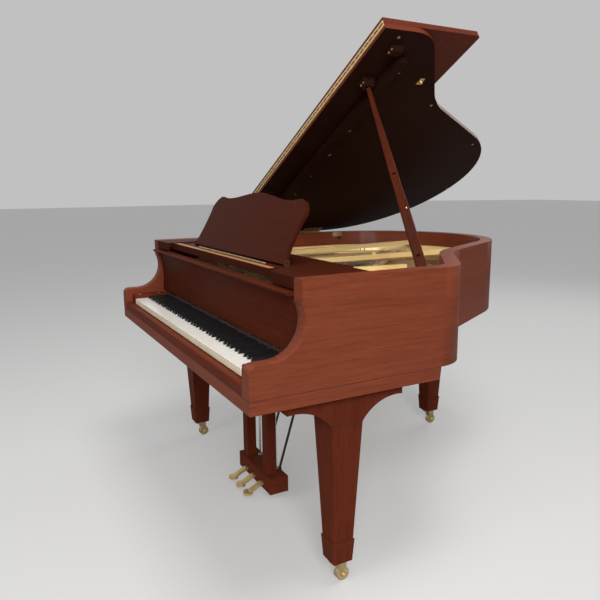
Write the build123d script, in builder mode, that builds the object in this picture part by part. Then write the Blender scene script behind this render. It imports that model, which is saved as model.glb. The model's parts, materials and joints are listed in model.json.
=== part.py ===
import os
from math import asin, atan2, cos, hypot, radians, sin

from build123d import *

os.makedirs("parts", exist_ok=True)

# Driving sizes in millimetres and degrees.
# Distances called "at" or "front" are measured back from the white key fronts.

# Case
cheek_width = 73.0
case_front = 28.0
rim_wall = 50.0
lid_overhang = 6.0
seat_gap = 0.4
flush_gap = 0.2

# Plan outline, from the treble side round the tail to the bass side
straight_end = 622.0
corner_radius = 135.0
corner_turn = 52.0
diagonal_length = 279.0
bend_radius = 370.0
flank_angle = 28.0
tail_radius = 450.0
bass_radius = 545.0

# Arm curve at the front ends of the rim
arm_rise = 36.0
arm_nose = 22.0
arm_flat_end = 37.0
arm_curve = 104.0
arm_curve_turn = 119.0
rim_front = 131.0

# Keybed, key slip and key blocks
keybed_bottom = 630.0
keybed_thick = 41.0
keybed_back = 612.0
slip_thick = 22.0
slip_height = 33.0
slip_round = 3.0
block_height = 69.0
block_gap = 4.5
block_front_at = 2.0
block_round = 6.0

# Keyboard
white_count = 52
note_count = 88
first_slot = 9
white_pitch = 23.5
key_gap = 0.4
key_lift = 34.0
key_thick = 23.0
head_length = 50.0
key_visible = 150.0
key_length = 400.0
stick_width = 10.0
sharp_width = 10.4
sharp_back = 146.0
sharp_gap = 2.0
sharp_rise = 12.0
sharp_taper = 4.0
balance_at = 215.0
capstan_at = 325.0
capstan_size = 6.0

# Key frame and action
frame_thick = 17.0
rail_gap = 0.7
balance_rail_width = 8.0
slat_width = 50.0
slat_step = 4.0
slat_shares = (-0.66, -0.33, 0.0, 0.33, 0.66)
hammer_pivot_at = 228.0
hammer_lift = 30.0
butt_length = 1.0
shank_size = 8.0
shank_width = 6.0
hammer_back = 364.0
hammer_depth = 24.0
hammer_width = 11.0
hammer_rise = 43.0
hammer_taper = 5.0
wippen_pivot_at = 390.0
wippen_lift = 20.0
wippen_thick = 12.0
wippen_width = 8.0
wippen_front = 258.0
wippen_tail = 6.0
bracket_thick = 12.0
bracket_clear = 4.0
bracket_reach = 40.0
rail_front = 12.0
rail_back = 8.0
hammer_rail_depth = 16.0
wippen_rail_front = 6.0
wippen_rail_depth = 9.0

# Fallboard
fall_pivot_at = 166.0
fall_lift = 34.0
fall_gap = 6.0
lip_front = 109.0
lip_thick = 11.0
fall_thick = 18.0
fall_hollow = 3.0
fall_back = 2.0
fall_pin_radius = 5.0
fall_pin_length = 10.0
running_gap = 0.05
overcut = 1.0

# Music shelf, tray and desk
shelf_front = 133.0
shelf_rise = 40.0
shelf_thick = 18.0
apron_height = 33.0
apron_thick = 14.0
wing_width = 149.0
wing_back = 380.0
runner_width = 20.0
runner_thick = 8.0
tray_back = 420.0
tray_thick = 12.0
tray_set_back = 22.0
tray_apron_height = 28.0
ledge_margin = 65.0
ledge_width = 38.0
ledge_rise = 6.0
desk_at = 238.0
desk_lift = 11.0
desk_lean = 28.6
desk_thick = 14.0
desk_height = 249.0
desk_margin = 107.0
desk_waist = 18.0
desk_shoulder = 12.0
desk_ear = 79.0
desk_swell = 15.5
desk_dip = 149.0
waist_share = 0.45
shoulder_share = 0.7
ear_side_share = 0.83
ear_share = 0.912
dip_share = 0.885
desk_foot = 8.0
ear_thick = 7.0
ear_height = 19.0
desk_pin_radius = 3.0
strut_at = 150.0
strut_length = 150.0
strut_width = 60.0
strut_thick = 9.0
strut_offset = 10.0
strut_ear_half = 8.0
strut_ear_reach = 5.0
strut_ear_sink = 1.0
strut_eye_wall = 1.0
strut_pin_radius = 2.5

# Lid
lid_angle = 27.8
lid_thick = 18.5
hinge_out = 10.0
hinge_rise = 2.0
hinge_radius = 3.6
leaf_thick = 1.8
leaf_width = 44.0
hinge_length = 110.0
hinge_places = (640.0, 980.0)
flap_split = 503.5
flap_depth = 384.0
flap_gap = 0.5
flap_barrel = 2.0
flap_leaf_drop = 9.0
flap_leaf_thick = 1.5
flap_knuckles = 4
flap_leaf_inset = 2.0
flap_round = 12.0

# Lid prop
prop_inset = 22.0
prop_at = 598.0
prop_drop = 35.0
prop_fold = (-0.72, 0.694, -0.02)
prop_base_size = 25.0
prop_tip_size = 13.0
prop_slim = 1.0
prop_heel = 8.0
prop_pin_radius = 4.0
slot_start = 62.0
slot_length = 286.0
slot_width = 11.0
slot_depth = 10.0
short_pin_radius = 2.0
cup_size = 40.0
cup_depth = 29.3
cup_gap = 0.9
cup_share = 0.8416
cup_at = 581.0
half_cup_share = 0.9493
half_cup_at = 591.0
batten_start = 250.0
batten_edge = 105.0
batten_at = 636.0
batten_width = 40.0
batten_depth = 22.0

# Strung back
string_clear = 8.0
plate_thick = 12.0
seat_drop = 16.0
plate_front = 195.0
web_back = 300.0
plate_band = 50.0
flange_wall = 13.0
flange_rise = 32.0
flange_start = 330.0
strut_clear = 26.0
strut_depth = 20.0
strut_bar = 20.0
strut_foot = 6.0
strut_lap = 30.0
strut_foot_depth = 24.0
strut_tail_depth = 28.0
string_size = 1.6
blow_distance = 49.0
bass_rise = 8.0
bass_notes = 26
pin_row = 225.0
rest_width = 12.0
speaking_front = 296.0
plain_tail_room = 265.0
shortest_plain = 180.0
plain_lean = 0.22
bass_lean = 0.31
bass_tail_room = 185.0
bass_step = 160.0
hitch_run = 60.0
unison_gap = 4.0
block_front = 200.0
block_back = 292.0
block_thick = 30.0
board_thick = 8.0
inner_wall = 38.0
belly_clear = 45.0
belly_thick = 40.0
rib_depth = 16.0
rib_width = 24.0
rib_start = 600.0
rib_pitch = 150.0
rib_count = 6
rib_angle = 38.0
brace_depth = 64.0
brace_width = 70.0
brace_shares = ((-0.61, -0.48), (-0.09, -0.31), (0.44, -0.15))
bridge_half = 13.0
bridge_overrun = 20.0
bridge_step = 6
crossing_notes = 14
damper_at = 412.0
damper_length = 36.0
damper_width = 9.0
damper_height = 15.0
damper_taper = 6.0
damper_notes = 66

# Legs and casters
leg_at = 293.0
leg_inset = 83.0
rear_leg_share = -0.293
rear_leg_from_tail = 187.0
leg_top_size = 106.0
leg_low_size = 69.0
ankle_top_size = 76.0
ankle_low_size = 66.0
ankle_height = 74.0
caster_height = 76.0
neck_drop = 93.0
bracket_half = 197.0
tail_bracket_half = 140.0
bracket_edge = 32.0
scoop_out = 0.22
scoop_up = 0.66
wheel_radius = 22.0
wheel_width = 20.0
wheel_trail = 14.0
axle_radius = 4.0
fork_wall = 5.0
fork_gap = 1.0
stem_radius = 8.0
stem_length = 30.0
fork_plate = 8.0
fork_margin = 4.0
fork_crown = 4.0

# Lyre and pedals
lyre_front = 297.0
lyre_depth = 78.0
pedal_box_half = 153.0
pedal_box_low = 48.0
pedal_box_high = 112.0
box_wall = 6.0
box_floor = 3.0
post_x = 95.0
post_width = 44.0
post_depth = 40.0
post_set_back = 5.0
lyre_cap = 18.0
lyre_cap_half = 135.0
lyre_cap_depth = 50.0
pedal_pitch = 75.0
pedal_tip_at = 218.0
paddle_radius = 19.0
paddle_low = 36.5
paddle_thick = 10.0
lever_width = 22.0
lever_low = 60.0
lever_thick = 12.0
lever_bend = 8.0
lever_end = 366.0
pedal_pivot_at = 335.0
pedal_pin_radius = 4.0
slot_play = 4.0
rod_at = 360.0
rod_radius = 3.5
rod_play = 2.0
rod_rise_into_bed = 10.0
stay_x = 60.0
stay_radius = 5.0
stay_margin = 67.0
stay_foot = 14.0

# Worked-out sizes
keyboard_half = white_count * white_pitch / 2
case_half = keyboard_half + cheek_width + rim_wall
lid_half = case_half + lid_overhang
inner_face = case_half - rim_wall
wing_inner = inner_face - wing_width
desk_half = wing_inner - desk_margin

# Heights, each from the one below it
rim_bottom = keybed_bottom + keybed_thick
key_bottom = rim_bottom + key_lift
key_top = key_bottom + key_thick
arm_top = key_top + arm_rise
wippen_bottom = key_top + wippen_lift
hammer_pivot_height = wippen_bottom + wippen_thick + hammer_lift
plain_height = hammer_pivot_height + shank_size / 2 + hammer_rise + blow_distance
bass_height = plain_height + bass_rise
plate_top = plain_height - string_clear
plate_seat = plate_top - plate_thick - seat_drop
flange_top = plate_top + flange_rise
strut_bottom = bass_height + strut_clear
strut_top = strut_bottom + strut_depth
shelf_top = strut_top + shelf_rise
rim_top = shelf_top
hinge_height = rim_top + hinge_rise
fall_pivot_height = key_top + fall_lift
fall_top = shelf_top - apron_height - fall_gap
ankle_bottom = caster_height
ankle_top = ankle_bottom + ankle_height
leg_neck = keybed_bottom - neck_drop
bracket_end = keybed_bottom - bracket_edge

# Plan outline: the flank's length closes the outline on the bass side
inner_inset = lid_overhang + rim_wall
turn_c = radians(corner_turn)
turn_f = radians(flank_angle)
flank_length = (
    2 * lid_half
    - corner_radius * (1 - cos(turn_c))
    - diagonal_length * sin(turn_c)
    - bend_radius * (cos(turn_f) - cos(turn_c))
    - tail_radius * cos(turn_f)
    - bass_radius
) / sin(turn_f)
tail_end = (
    straight_end
    + corner_radius * sin(turn_c)
    + diagonal_length * cos(turn_c)
    + bend_radius * (sin(turn_c) - sin(turn_f))
    + flank_length * cos(turn_f)
    + tail_radius * (1 - sin(turn_f))
)
case_middle = (tail_end - case_front) / 2
belly_front = key_length + belly_clear
longest_plain = tail_end - speaking_front - plain_tail_room
bass_longest = tail_end - speaking_front - bass_tail_room
leg_half_spread = case_half - leg_inset
rear_leg_x = rear_leg_share * case_half
rear_leg_at = tail_end - rear_leg_from_tail
stay_back = keybed_back - stay_margin
octave = 7 * white_pitch
first_c = -keyboard_half - 5 * white_pitch
black_slots = (1, 3, 6, 8, 10)
soundboard_bottom = plate_seat - board_thick

# Work planes: the floor plane has its zero below the middle of the key fronts.
floor = Plane(origin=(0, -case_middle, 0))


def level(height):
    return floor.offset(height)


def side(x):
    return Plane(origin=(x, -case_middle, 0), x_dir=(0, 1, 0), z_dir=(1, 0, 0))


def place(x, at, height):
    return Vector(x, at - case_middle, height)


def save(piece, name):
    piece.part.label = name
    export_step(piece.part, f"parts/{name}.step")


def case_plan(inset, front, mode=Mode.ADD):
    half = lid_half - inset
    with BuildLine() as outline:
        treble = Line((half, front), (half, straight_end))
        corner = JernArc(treble @ 1, treble % 1, corner_radius - inset, corner_turn)
        diagonal = Line(corner @ 1, corner @ 1 + (corner % 1) * diagonal_length)
        bend = JernArc(diagonal @ 1, diagonal % 1, bend_radius + inset, flank_angle - corner_turn)
        flank = Line(bend @ 1, bend @ 1 + (bend % 1) * flank_length)
        tail = JernArc(flank @ 1, flank % 1, tail_radius - inset, 90 - flank_angle)
        quarter = JernArc(tail @ 1, tail % 1, bass_radius - inset, 90)
        Polyline(quarter @ 1, (-half, front), treble @ 0)
    make_face(outline.edges(), mode=mode)


def corner_box(low, high, mode=Mode.ADD):
    size = Vector(*high) - Vector(*low)
    with Locations((Vector(*low) + Vector(*high)) / 2):
        Box(size.X, size.Y, size.Z, mode=mode)


def polygon(points, mode=Mode.ADD):
    turned = points[1:] + points[:1]
    kept = [p for p, q in zip(points, turned) if (Vector(p) - Vector(q)).length > 1e-6]
    with BuildLine() as outline:
        Polyline(*kept, close=True)
    make_face(outline.edges(), mode=mode)


# Rim: one bent case with arms at the front ends

with BuildPart() as rim:
    with BuildSketch(level(rim_bottom)):
        case_plan(lid_overhang, -case_front)
        case_plan(inner_inset, -2 * case_front, Mode.SUBTRACT)
    extrude(amount=rim_top - rim_bottom)
    with BuildSketch(side(0)):
        with BuildLine():
            nose = JernArc((-case_front, arm_top - arm_nose), (0, 1), arm_nose, -90)
            flat = Line(nose @ 1, (arm_flat_end, arm_top))
            sweep_up = JernArc(flat @ 1, (1, 0), arm_curve, arm_curve_turn)
            Polyline(
                sweep_up @ 1,
                (rim_front, (sweep_up @ 1).Y),
                (rim_front, 2 * rim_top),
                (-2 * case_front, 2 * rim_top),
                (-2 * case_front, arm_top - arm_nose),
                nose @ 0,
            )
        make_face()
    extrude(amount=2 * case_half, both=True, mode=Mode.SUBTRACT)
    with BuildSketch(side(0)):
        with Locations((fall_pivot_at, fall_pivot_height)):
            Circle(fall_pin_radius + running_gap)
    extrude(amount=inner_face + fall_pin_length + seat_gap, both=True, mode=Mode.SUBTRACT)
save(rim, "rim")

with BuildPart() as inner_rim:
    with BuildSketch(level(rim_bottom)):
        case_plan(inner_inset + flush_gap, belly_front + belly_thick)
        case_plan(inner_inset + inner_wall, belly_front, Mode.SUBTRACT)
    extrude(amount=soundboard_bottom - rim_bottom)
save(inner_rim, "inner_rim")

with BuildPart(floor) as belly_rail:
    corner_box(
        (-inner_face + flush_gap, belly_front, rim_bottom),
        (inner_face - flush_gap, belly_front + belly_thick, soundboard_bottom),
    )
save(belly_rail, "belly_rail")

with BuildPart() as case_braces:
    with BuildSketch(level(rim_bottom)):
        brace_front = belly_front + belly_thick + flush_gap
        for front_share, back_share in brace_shares:
            spread_front = front_share * inner_face
            spread_back = back_share * inner_face
            polygon(
                [
                    (spread_front - brace_width / 2, brace_front),
                    (spread_front + brace_width / 2, brace_front),
                    (spread_back + brace_width / 2, tail_end),
                    (spread_back - brace_width / 2, tail_end),
                ]
            )
        case_plan(inner_inset + inner_wall + flush_gap, brace_front, Mode.INTERSECT)
    extrude(amount=brace_depth)
save(case_braces, "case_braces")

# Keybed and what stands on it in front

with BuildPart(floor) as keybed:
    corner_box(
        (-case_half, -case_front, keybed_bottom),
        (case_half, keybed_back, keybed_bottom + keybed_thick),
    )
    with Locations(*((x * pedal_pitch, rod_at, keybed_bottom) for x in (-1, 0, 1))):
        pocket = 2 * (rod_radius + rod_play)
        Box(pocket, pocket, 4 * rod_rise_into_bed, mode=Mode.SUBTRACT)
save(keybed, "keybed")

with BuildPart(floor) as key_slip:
    corner_box(
        (-inner_face + seat_gap, -case_front, rim_bottom),
        (inner_face - seat_gap, slip_thick - case_front, rim_bottom + slip_height),
    )
    fillet(key_slip.edges().filter_by(Axis.X).group_by(Axis.Z)[-1], slip_round)
save(key_slip, "key_slip")

with BuildPart(floor) as key_blocks:
    for hand in (-1, 1):
        near = hand * (keyboard_half + block_gap)
        far = hand * (inner_face - seat_gap)
        corner_box(
            (min(near, far), block_front_at, rim_bottom),
            (max(near, far), key_visible, rim_bottom + block_height),
        )
    fillet(key_blocks.edges().filter_by(Axis.X).group_by(Axis.Z)[-1], block_round)
save(key_blocks, "key_blocks")

with BuildPart() as fallboard:
    with BuildSketch(side(0)):
        with BuildLine():
            face = ThreePointArc(
                (fall_pivot_at - fall_thick, fall_pivot_height - fall_thick / 2),
                (fall_pivot_at - fall_thick + fall_hollow, (fall_pivot_height + fall_top) / 2),
                (fall_pivot_at - 1.7 * fall_thick, fall_top - lip_thick),
            )
            under = Line(face @ 1, (lip_front + lip_thick / 2, fall_top - lip_thick))
            bull = JernArc(under @ 1, (-1, 0), lip_thick / 2, -180)
            Polyline(
                bull @ 1,
                (fall_pivot_at - fall_thick, fall_top),
                (fall_pivot_at + fall_back, fall_top - 2.5 * fall_thick),
                (fall_pivot_at + fall_back, fall_pivot_height),
                (fall_pivot_at - fall_thick / 2, fall_pivot_height - fall_thick / 2),
                face @ 0,
            )
        make_face()
    extrude(amount=inner_face - seat_gap, both=True)
    with BuildSketch(side(0)):
        with Locations((fall_pivot_at, fall_pivot_height)):
            Circle(fall_pin_radius)
    extrude(amount=inner_face + fall_pin_length, both=True)
save(fallboard, "fallboard")

# Music shelf: fixed wings, sliding tray, folding desk and its strut

tray_front = shelf_front + tray_set_back
runner_front = tray_front + 2 * apron_thick

with BuildPart(floor) as shelf_wings:
    for hand in (-1, 1):
        near = hand * wing_inner
        far = hand * (inner_face - seat_gap)
        lip = hand * (wing_inner - runner_width)
        corner_box(
            (min(near, far), shelf_front, shelf_top - shelf_thick),
            (max(near, far), wing_back, shelf_top),
        )
        corner_box(
            (min(near, far), shelf_front, shelf_top - apron_height),
            (max(near, far), shelf_front + apron_thick, shelf_top),
        )
        runner_high = shelf_top - shelf_thick - seat_gap
        corner_box(
            (min(lip, far), runner_front, runner_high - runner_thick),
            (max(lip, far), wing_back, runner_high),
        )
        corner_box(
            (min(near, far), runner_front, runner_high),
            (max(near, far), wing_back, shelf_top - shelf_thick),
        )
save(shelf_wings, "shelf_wings")

tray_top = shelf_top - shelf_thick + tray_thick
tray_half = wing_inner - seat_gap

with BuildPart(floor) as music_tray:
    corner_box((-tray_half, tray_front, shelf_top - shelf_thick), (tray_half, tray_back, tray_top))
    corner_box(
        (-tray_half, tray_front, shelf_top - tray_apron_height),
        (tray_half, tray_front + apron_thick, shelf_top),
    )
    ledge_half = tray_half - ledge_margin
    corner_box(
        (-ledge_half, tray_front, tray_top),
        (ledge_half, tray_front + ledge_width, tray_top + ledge_rise),
    )
save(music_tray, "music_tray")

desk_axis_height = tray_top + desk_lift
lean = radians(desk_lean)
desk_plane = Plane(
    origin=place(0, desk_at, desk_axis_height),
    x_dir=(1, 0, 0),
    z_dir=(0, -cos(lean), sin(lean)),
)
desk_top = desk_height - desk_foot

with BuildPart() as music_desk:
    with BuildSketch(desk_plane.offset(-desk_thick / 2)):
        with BuildLine():
            foot = Line((0, -desk_foot), (desk_half, -desk_foot))
            waist = ThreePointArc(
                foot @ 1,
                (desk_half - desk_waist, waist_share * desk_top),
                (desk_half - desk_shoulder, shoulder_share * desk_top),
            )
            ear = ThreePointArc(
                waist @ 1,
                (desk_half - (desk_shoulder + desk_ear) / 2 + desk_swell, ear_side_share * desk_top),
                (desk_half - desk_ear, ear_share * desk_top),
            )
            dip = Spline(
                ear @ 1,
                (desk_half - desk_dip, dip_share * desk_top),
                tangents=((-1, -0.05), (-1, 0)),
            )
            crown = Spline(
                dip @ 1,
                (0, desk_top),
                tangents=((-1, 0), (-1, 0)),
            )
            Line(crown @ 1, foot @ 0)
        make_face()
        mirror(about=Plane.YZ)
    extrude(amount=desk_thick)
    with BuildSketch(Plane(desk_plane.origin, x_dir=(0, 1, 0), z_dir=(1, 0, 0))):
        Circle(desk_pin_radius)
    extrude(amount=desk_half + seat_gap + ear_thick, both=True)
    with BuildSketch(Plane(desk_plane.origin, x_dir=(0, 1, 0), z_dir=(1, 0, 0))):
        with BuildLine():
            back = desk_thick / 2
            up = Vector(sin(lean), cos(lean))
            out = Vector(cos(lean), -sin(lean))
            Polyline(
                up * (strut_at - 1.5 * strut_ear_half) + out * (back - strut_ear_sink),
                up * (strut_at - strut_ear_half) + out * (back + strut_offset + strut_ear_reach),
                up * (strut_at + strut_ear_half) + out * (back + strut_offset + strut_ear_reach),
                up * (strut_at + 1.5 * strut_ear_half) + out * (back - strut_ear_sink),
                close=True,
            )
        make_face()
    extrude(amount=strut_width / 2 + seat_gap + ear_thick, both=True)
    with BuildSketch(Plane(desk_plane.origin, x_dir=(0, 1, 0), z_dir=(1, 0, 0))):
        with BuildLine():
            Polyline(
                up * (strut_at - 2 * strut_ear_half) + out * back,
                up * (strut_at - 2 * strut_ear_half) + out * (back + 3 * strut_offset),
                up * (strut_at + 2 * strut_ear_half) + out * (back + 3 * strut_offset),
                up * (strut_at + 2 * strut_ear_half) + out * back,
                close=True,
            )
        make_face()
    extrude(amount=strut_width / 2 + seat_gap, both=True, mode=Mode.SUBTRACT)
    with BuildSketch(Plane(desk_plane.origin, x_dir=(0, 1, 0), z_dir=(1, 0, 0))):
        with Locations(up * strut_at + out * (back + strut_offset)):
            Circle(strut_pin_radius)
    extrude(amount=strut_width / 2 + seat_gap + ear_thick, both=True)
save(music_desk, "music_desk")

with BuildPart(floor) as desk_hinges:
    for hand in (-1, 1):
        near = hand * (desk_half + seat_gap)
        far = hand * (desk_half + seat_gap + ear_thick)
        corner_box(
            (min(near, far), desk_at - ear_height / 2, tray_top),
            (max(near, far), desk_at + ear_height / 2, tray_top + ear_height),
        )
    with BuildSketch(side(0)):
        with Locations((desk_at, desk_axis_height)):
            Circle(desk_pin_radius + running_gap)
    extrude(amount=2 * desk_half, both=True, mode=Mode.SUBTRACT)
save(desk_hinges, "desk_hinges")

strut_pivot = (
    desk_at + strut_at * sin(lean) + (desk_thick / 2 + strut_offset) * cos(lean),
    desk_axis_height + strut_at * cos(lean) - (desk_thick / 2 + strut_offset) * sin(lean),
)
strut_fall = asin((strut_pivot[1] - tray_top - seat_gap) / hypot(strut_length, strut_thick / 2))
strut_fall = strut_fall - atan2(strut_thick / 2, strut_length)
strut_way = Vector(cos(strut_fall), -sin(strut_fall))
strut_across = Vector(strut_way.Y, -strut_way.X)

with BuildPart() as desk_strut:
    with BuildSketch(side(0)):
        with Locations(strut_pivot):
            Circle(strut_thick / 2 + strut_eye_wall)
        centre = Vector(*strut_pivot)
        polygon(
            [
                centre + strut_across * (strut_thick / 2),
                centre + strut_way * strut_length + strut_across * (strut_thick / 2),
                centre + strut_way * strut_length - strut_across * (strut_thick / 2),
                centre - strut_across * (strut_thick / 2),
            ]
        )
        with Locations(strut_pivot):
            Circle(strut_pin_radius + running_gap, mode=Mode.SUBTRACT)
    extrude(amount=strut_width / 2, both=True)
save(desk_strut, "desk_strut")

# Lid: main panel and front flap, in the open lid's own plane
# In that plane x runs along the closed case's width and z starts at the hinge pin.

tilt = radians(lid_angle)
lid_x = Vector(cos(tilt), 0, sin(tilt))
lid_up = Vector(-sin(tilt), 0, cos(tilt))
hinge_x = case_half + hinge_out
hinge_pin = place(-hinge_x, 0, hinge_height)
lid_plane = Plane(origin=hinge_pin + lid_x * hinge_x, x_dir=lid_x, z_dir=lid_up)
lid_under = rim_top + 2 * leaf_thick + flush_gap * 2 - hinge_height
lid_over = lid_under + lid_thick
flap_axis_up = lid_over + flap_gap / 2
flap_axis_at = flap_split - flap_barrel - seat_gap

with BuildPart() as lid:
    with BuildSketch(lid_plane.offset(lid_under)):
        case_plan(0, flap_split)
    extrude(amount=lid_thick)
save(lid, "lid")

with BuildPart() as lid_flap:
    with BuildSketch(lid_plane.offset(lid_over + flap_gap)):
        with Locations((0, flap_split + flap_depth / 2)):
            Rectangle(2 * lid_half, flap_depth)
    extrude(amount=lid_thick)
    upright_edges = lid_flap.edges().filter_by(lambda e: abs((e % 0.5).dot(lid_up)) > 0.9)
    fillet(upright_edges.sort_by(Axis.Y)[-2:], flap_round)
save(lid_flap, "lid_flap")


def knuckles(count, parity, length, start):
    step = length / count
    return [(start + i * step, step) for i in range(count) if i % 2 == parity]


with BuildPart(floor) as lid_hinge_case:
    for at in hinge_places:
        corner_box(
            (-hinge_x, at - hinge_length / 2, rim_top),
            (-hinge_x + leaf_width, at + hinge_length / 2, rim_top + leaf_thick),
        )
        for start, step in knuckles(3, 0, hinge_length, at - hinge_length / 2):
            with BuildSketch(Plane(place(-hinge_x, start, hinge_height), z_dir=(0, 1, 0))):
                Circle(hinge_radius)
            extrude(amount=step)
        with BuildSketch(Plane(place(-hinge_x, at, hinge_height), z_dir=(0, 1, 0))):
            Circle(hinge_radius + seat_gap)
        extrude(amount=hinge_length / 6, both=True, mode=Mode.SUBTRACT)
        with BuildSketch(Plane(place(-hinge_x, at - hinge_length / 2, hinge_height), z_dir=(0, 1, 0))):
            Circle(hinge_radius / 2)
        extrude(amount=hinge_length)
save(lid_hinge_case, "lid_hinge_case")

with BuildPart() as lid_hinge_lid:
    for at in hinge_places:
        with BuildSketch(lid_plane.offset(lid_under - leaf_thick)):
            with Locations((-hinge_x + leaf_width / 2, at)):
                Rectangle(leaf_width, hinge_length)
        extrude(amount=leaf_thick)
        step = hinge_length / 3
        for cut in (-step, step):
            with BuildSketch(Plane(place(-hinge_x, at + cut, hinge_height), z_dir=(0, 1, 0))):
                Circle(hinge_radius + seat_gap)
            extrude(amount=step / 2 + seat_gap / 2, both=True, mode=Mode.SUBTRACT)
        with BuildSketch(Plane(place(-hinge_x, at, hinge_height), z_dir=(0, 1, 0))):
            Circle(hinge_radius)
        extrude(amount=step / 2 - seat_gap / 2, both=True)
        with BuildSketch(Plane(place(-hinge_x, at, hinge_height), z_dir=(0, 1, 0))):
            Circle(hinge_radius / 2 + running_gap)
        extrude(amount=step, both=True, mode=Mode.SUBTRACT)
save(lid_hinge_lid, "lid_hinge_lid")


def lid_spot(x, at, up):
    return lid_plane.from_local_coords(Vector(x, at, up))


def flap_leaf(parity, low, high):
    leaf_half = lid_half - flap_leaf_inset
    with BuildSketch(lid_plane.offset(low)) as strip:
        with Locations((0, flap_split - flap_leaf_thick / 2)):
            Rectangle(2 * leaf_half, flap_leaf_thick)
    extrude(strip.sketch, amount=high - low)
    for start, step in knuckles(flap_knuckles, 1 - parity, 2 * leaf_half, -leaf_half):
        with BuildSketch(Plane(lid_spot(start, flap_axis_at, flap_axis_up), z_dir=lid_x)) as notch:
            Circle(flap_barrel + seat_gap)
        extrude(notch.sketch, amount=step, mode=Mode.SUBTRACT)
    for start, step in knuckles(flap_knuckles, parity, 2 * leaf_half, -leaf_half):
        begin = lid_spot(start + seat_gap / 2, flap_axis_at, flap_axis_up)
        with BuildSketch(Plane(begin, z_dir=lid_x)) as barrel:
            Circle(flap_barrel)
        extrude(barrel.sketch, amount=step - seat_gap)
    with BuildSketch(Plane(lid_spot(-lid_half, flap_axis_at, flap_axis_up), z_dir=lid_x)) as pin:
        Circle(flap_barrel / 2 + (running_gap if parity else -running_gap))
    extrude(pin.sketch, amount=2 * lid_half, mode=Mode.SUBTRACT if parity else Mode.ADD)


with BuildPart() as flap_hinge_lid:
    flap_leaf(0, lid_over - flap_leaf_drop, flap_axis_up - flap_gap / 2)
save(flap_hinge_lid, "flap_hinge_lid")

with BuildPart() as flap_hinge_flap:
    flap_leaf(1, flap_axis_up + flap_gap / 2, lid_over + flap_gap + flap_leaf_drop)
save(flap_hinge_flap, "flap_hinge_flap")

# Lid prop with the short prop in its groove, its hinge, and the cups and batten under the lid

base = place(inner_face - prop_inset, prop_at, rim_top - prop_drop)
cup_x = 2 * lid_half * cup_share - hinge_x
tip = lid_spot(cup_x, cup_at, lid_under - cup_depth - cup_gap)
prop_way = (tip - base).normalized()
prop_reach = (tip - base).length
prop_axis = prop_way.cross(Vector(*prop_fold)).normalized()
prop_side = prop_axis.cross(prop_way)
prop_plane = Plane(origin=base, x_dir=-prop_axis, z_dir=prop_way)

with BuildPart() as lid_prop:
    with BuildSketch(prop_plane.offset(-prop_heel)):
        Rectangle(prop_base_size, prop_base_size)
    with BuildSketch(prop_plane.offset(slot_start + slot_length)):
        Rectangle(prop_base_size - prop_slim, prop_base_size - prop_slim)
    loft()
    with BuildSketch(prop_plane.offset(slot_start + slot_length)):
        Rectangle(prop_base_size - prop_slim, prop_base_size - prop_slim)
    with BuildSketch(prop_plane.offset(prop_reach)):
        Rectangle(prop_tip_size, prop_tip_size)
    loft()
    with BuildSketch(prop_plane.offset(slot_start)):
        with Locations((0, -prop_base_size / 2)):
            Rectangle(slot_width + 2 * seat_gap, 2 * slot_depth + 2 * seat_gap)
    extrude(amount=slot_length, mode=Mode.SUBTRACT)
    with BuildSketch(Plane(base, x_dir=prop_way, z_dir=prop_axis)):
        Circle(prop_pin_radius + running_gap)
    extrude(amount=prop_base_size, both=True, mode=Mode.SUBTRACT)
save(lid_prop, "lid_prop")

short_axis = base + prop_way * (slot_start + slot_width) - prop_side * (prop_base_size / 2 - slot_depth / 2)

with BuildPart() as short_prop:
    with BuildSketch(prop_plane.offset(slot_start + slot_width)):
        with Locations((0, -prop_base_size / 2 + slot_depth / 2)):
            Rectangle(slot_width, slot_depth)
    extrude(amount=slot_length - 1.5 * slot_width)
    with BuildSketch(Plane(short_axis, x_dir=prop_way, z_dir=prop_axis)):
        Circle(slot_depth / 2)
    extrude(amount=slot_width / 2, both=True)
    with BuildSketch(Plane(short_axis, x_dir=prop_way, z_dir=prop_axis)):
        Circle(short_pin_radius)
    extrude(amount=slot_width / 2 + seat_gap / 2, both=True)
save(short_prop, "short_prop")

with BuildPart() as prop_hinge:
    with BuildSketch(Plane(base - prop_axis * (prop_base_size / 2 + seat_gap), z_dir=-prop_axis)):
        Circle(2.3 * prop_pin_radius)
    extrude(amount=2 * prop_base_size)
    with BuildSketch(Plane(base + prop_axis * (prop_base_size / 2 + seat_gap), z_dir=prop_axis)):
        Circle(2 * prop_pin_radius)
    extrude(amount=prop_pin_radius / 2)
    with BuildSketch(Plane(base, z_dir=prop_axis)):
        Circle(prop_pin_radius)
    extrude(amount=prop_base_size / 2 + seat_gap, both=True)
    with BuildSketch(level(rim_bottom)):
        case_plan(inner_inset + flush_gap, shelf_front)
    extrude(amount=rim_top - rim_bottom, mode=Mode.INTERSECT)
save(prop_hinge, "prop_hinge")

with BuildPart() as prop_cups:
    cup_top = lid_under - flush_gap
    for x, at, depth in (
        (cup_x, cup_at, cup_depth - flush_gap),
        (2 * lid_half * half_cup_share - hinge_x, half_cup_at, cup_size / 2),
    ):
        with BuildSketch(lid_plane.offset(cup_top - depth)):
            with Locations((x, at)):
                Rectangle(0.6 * cup_size, 0.8 * cup_size)
        with BuildSketch(lid_plane.offset(cup_top)):
            with Locations((x, at)):
                Rectangle(cup_size, 1.3 * cup_size)
        loft()
    batten_low = batten_start - hinge_x
    batten_high = 2 * lid_half - batten_edge - hinge_x
    with BuildSketch(lid_plane.offset(cup_top)):
        with Locations(((batten_low + batten_high) / 2, batten_at)):
            Rectangle(batten_high - batten_low, batten_width)
    extrude(amount=-batten_depth)
save(prop_cups, "prop_cups")

# Strung back: soundboard, bridges, pin block, cast plate and strings


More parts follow.
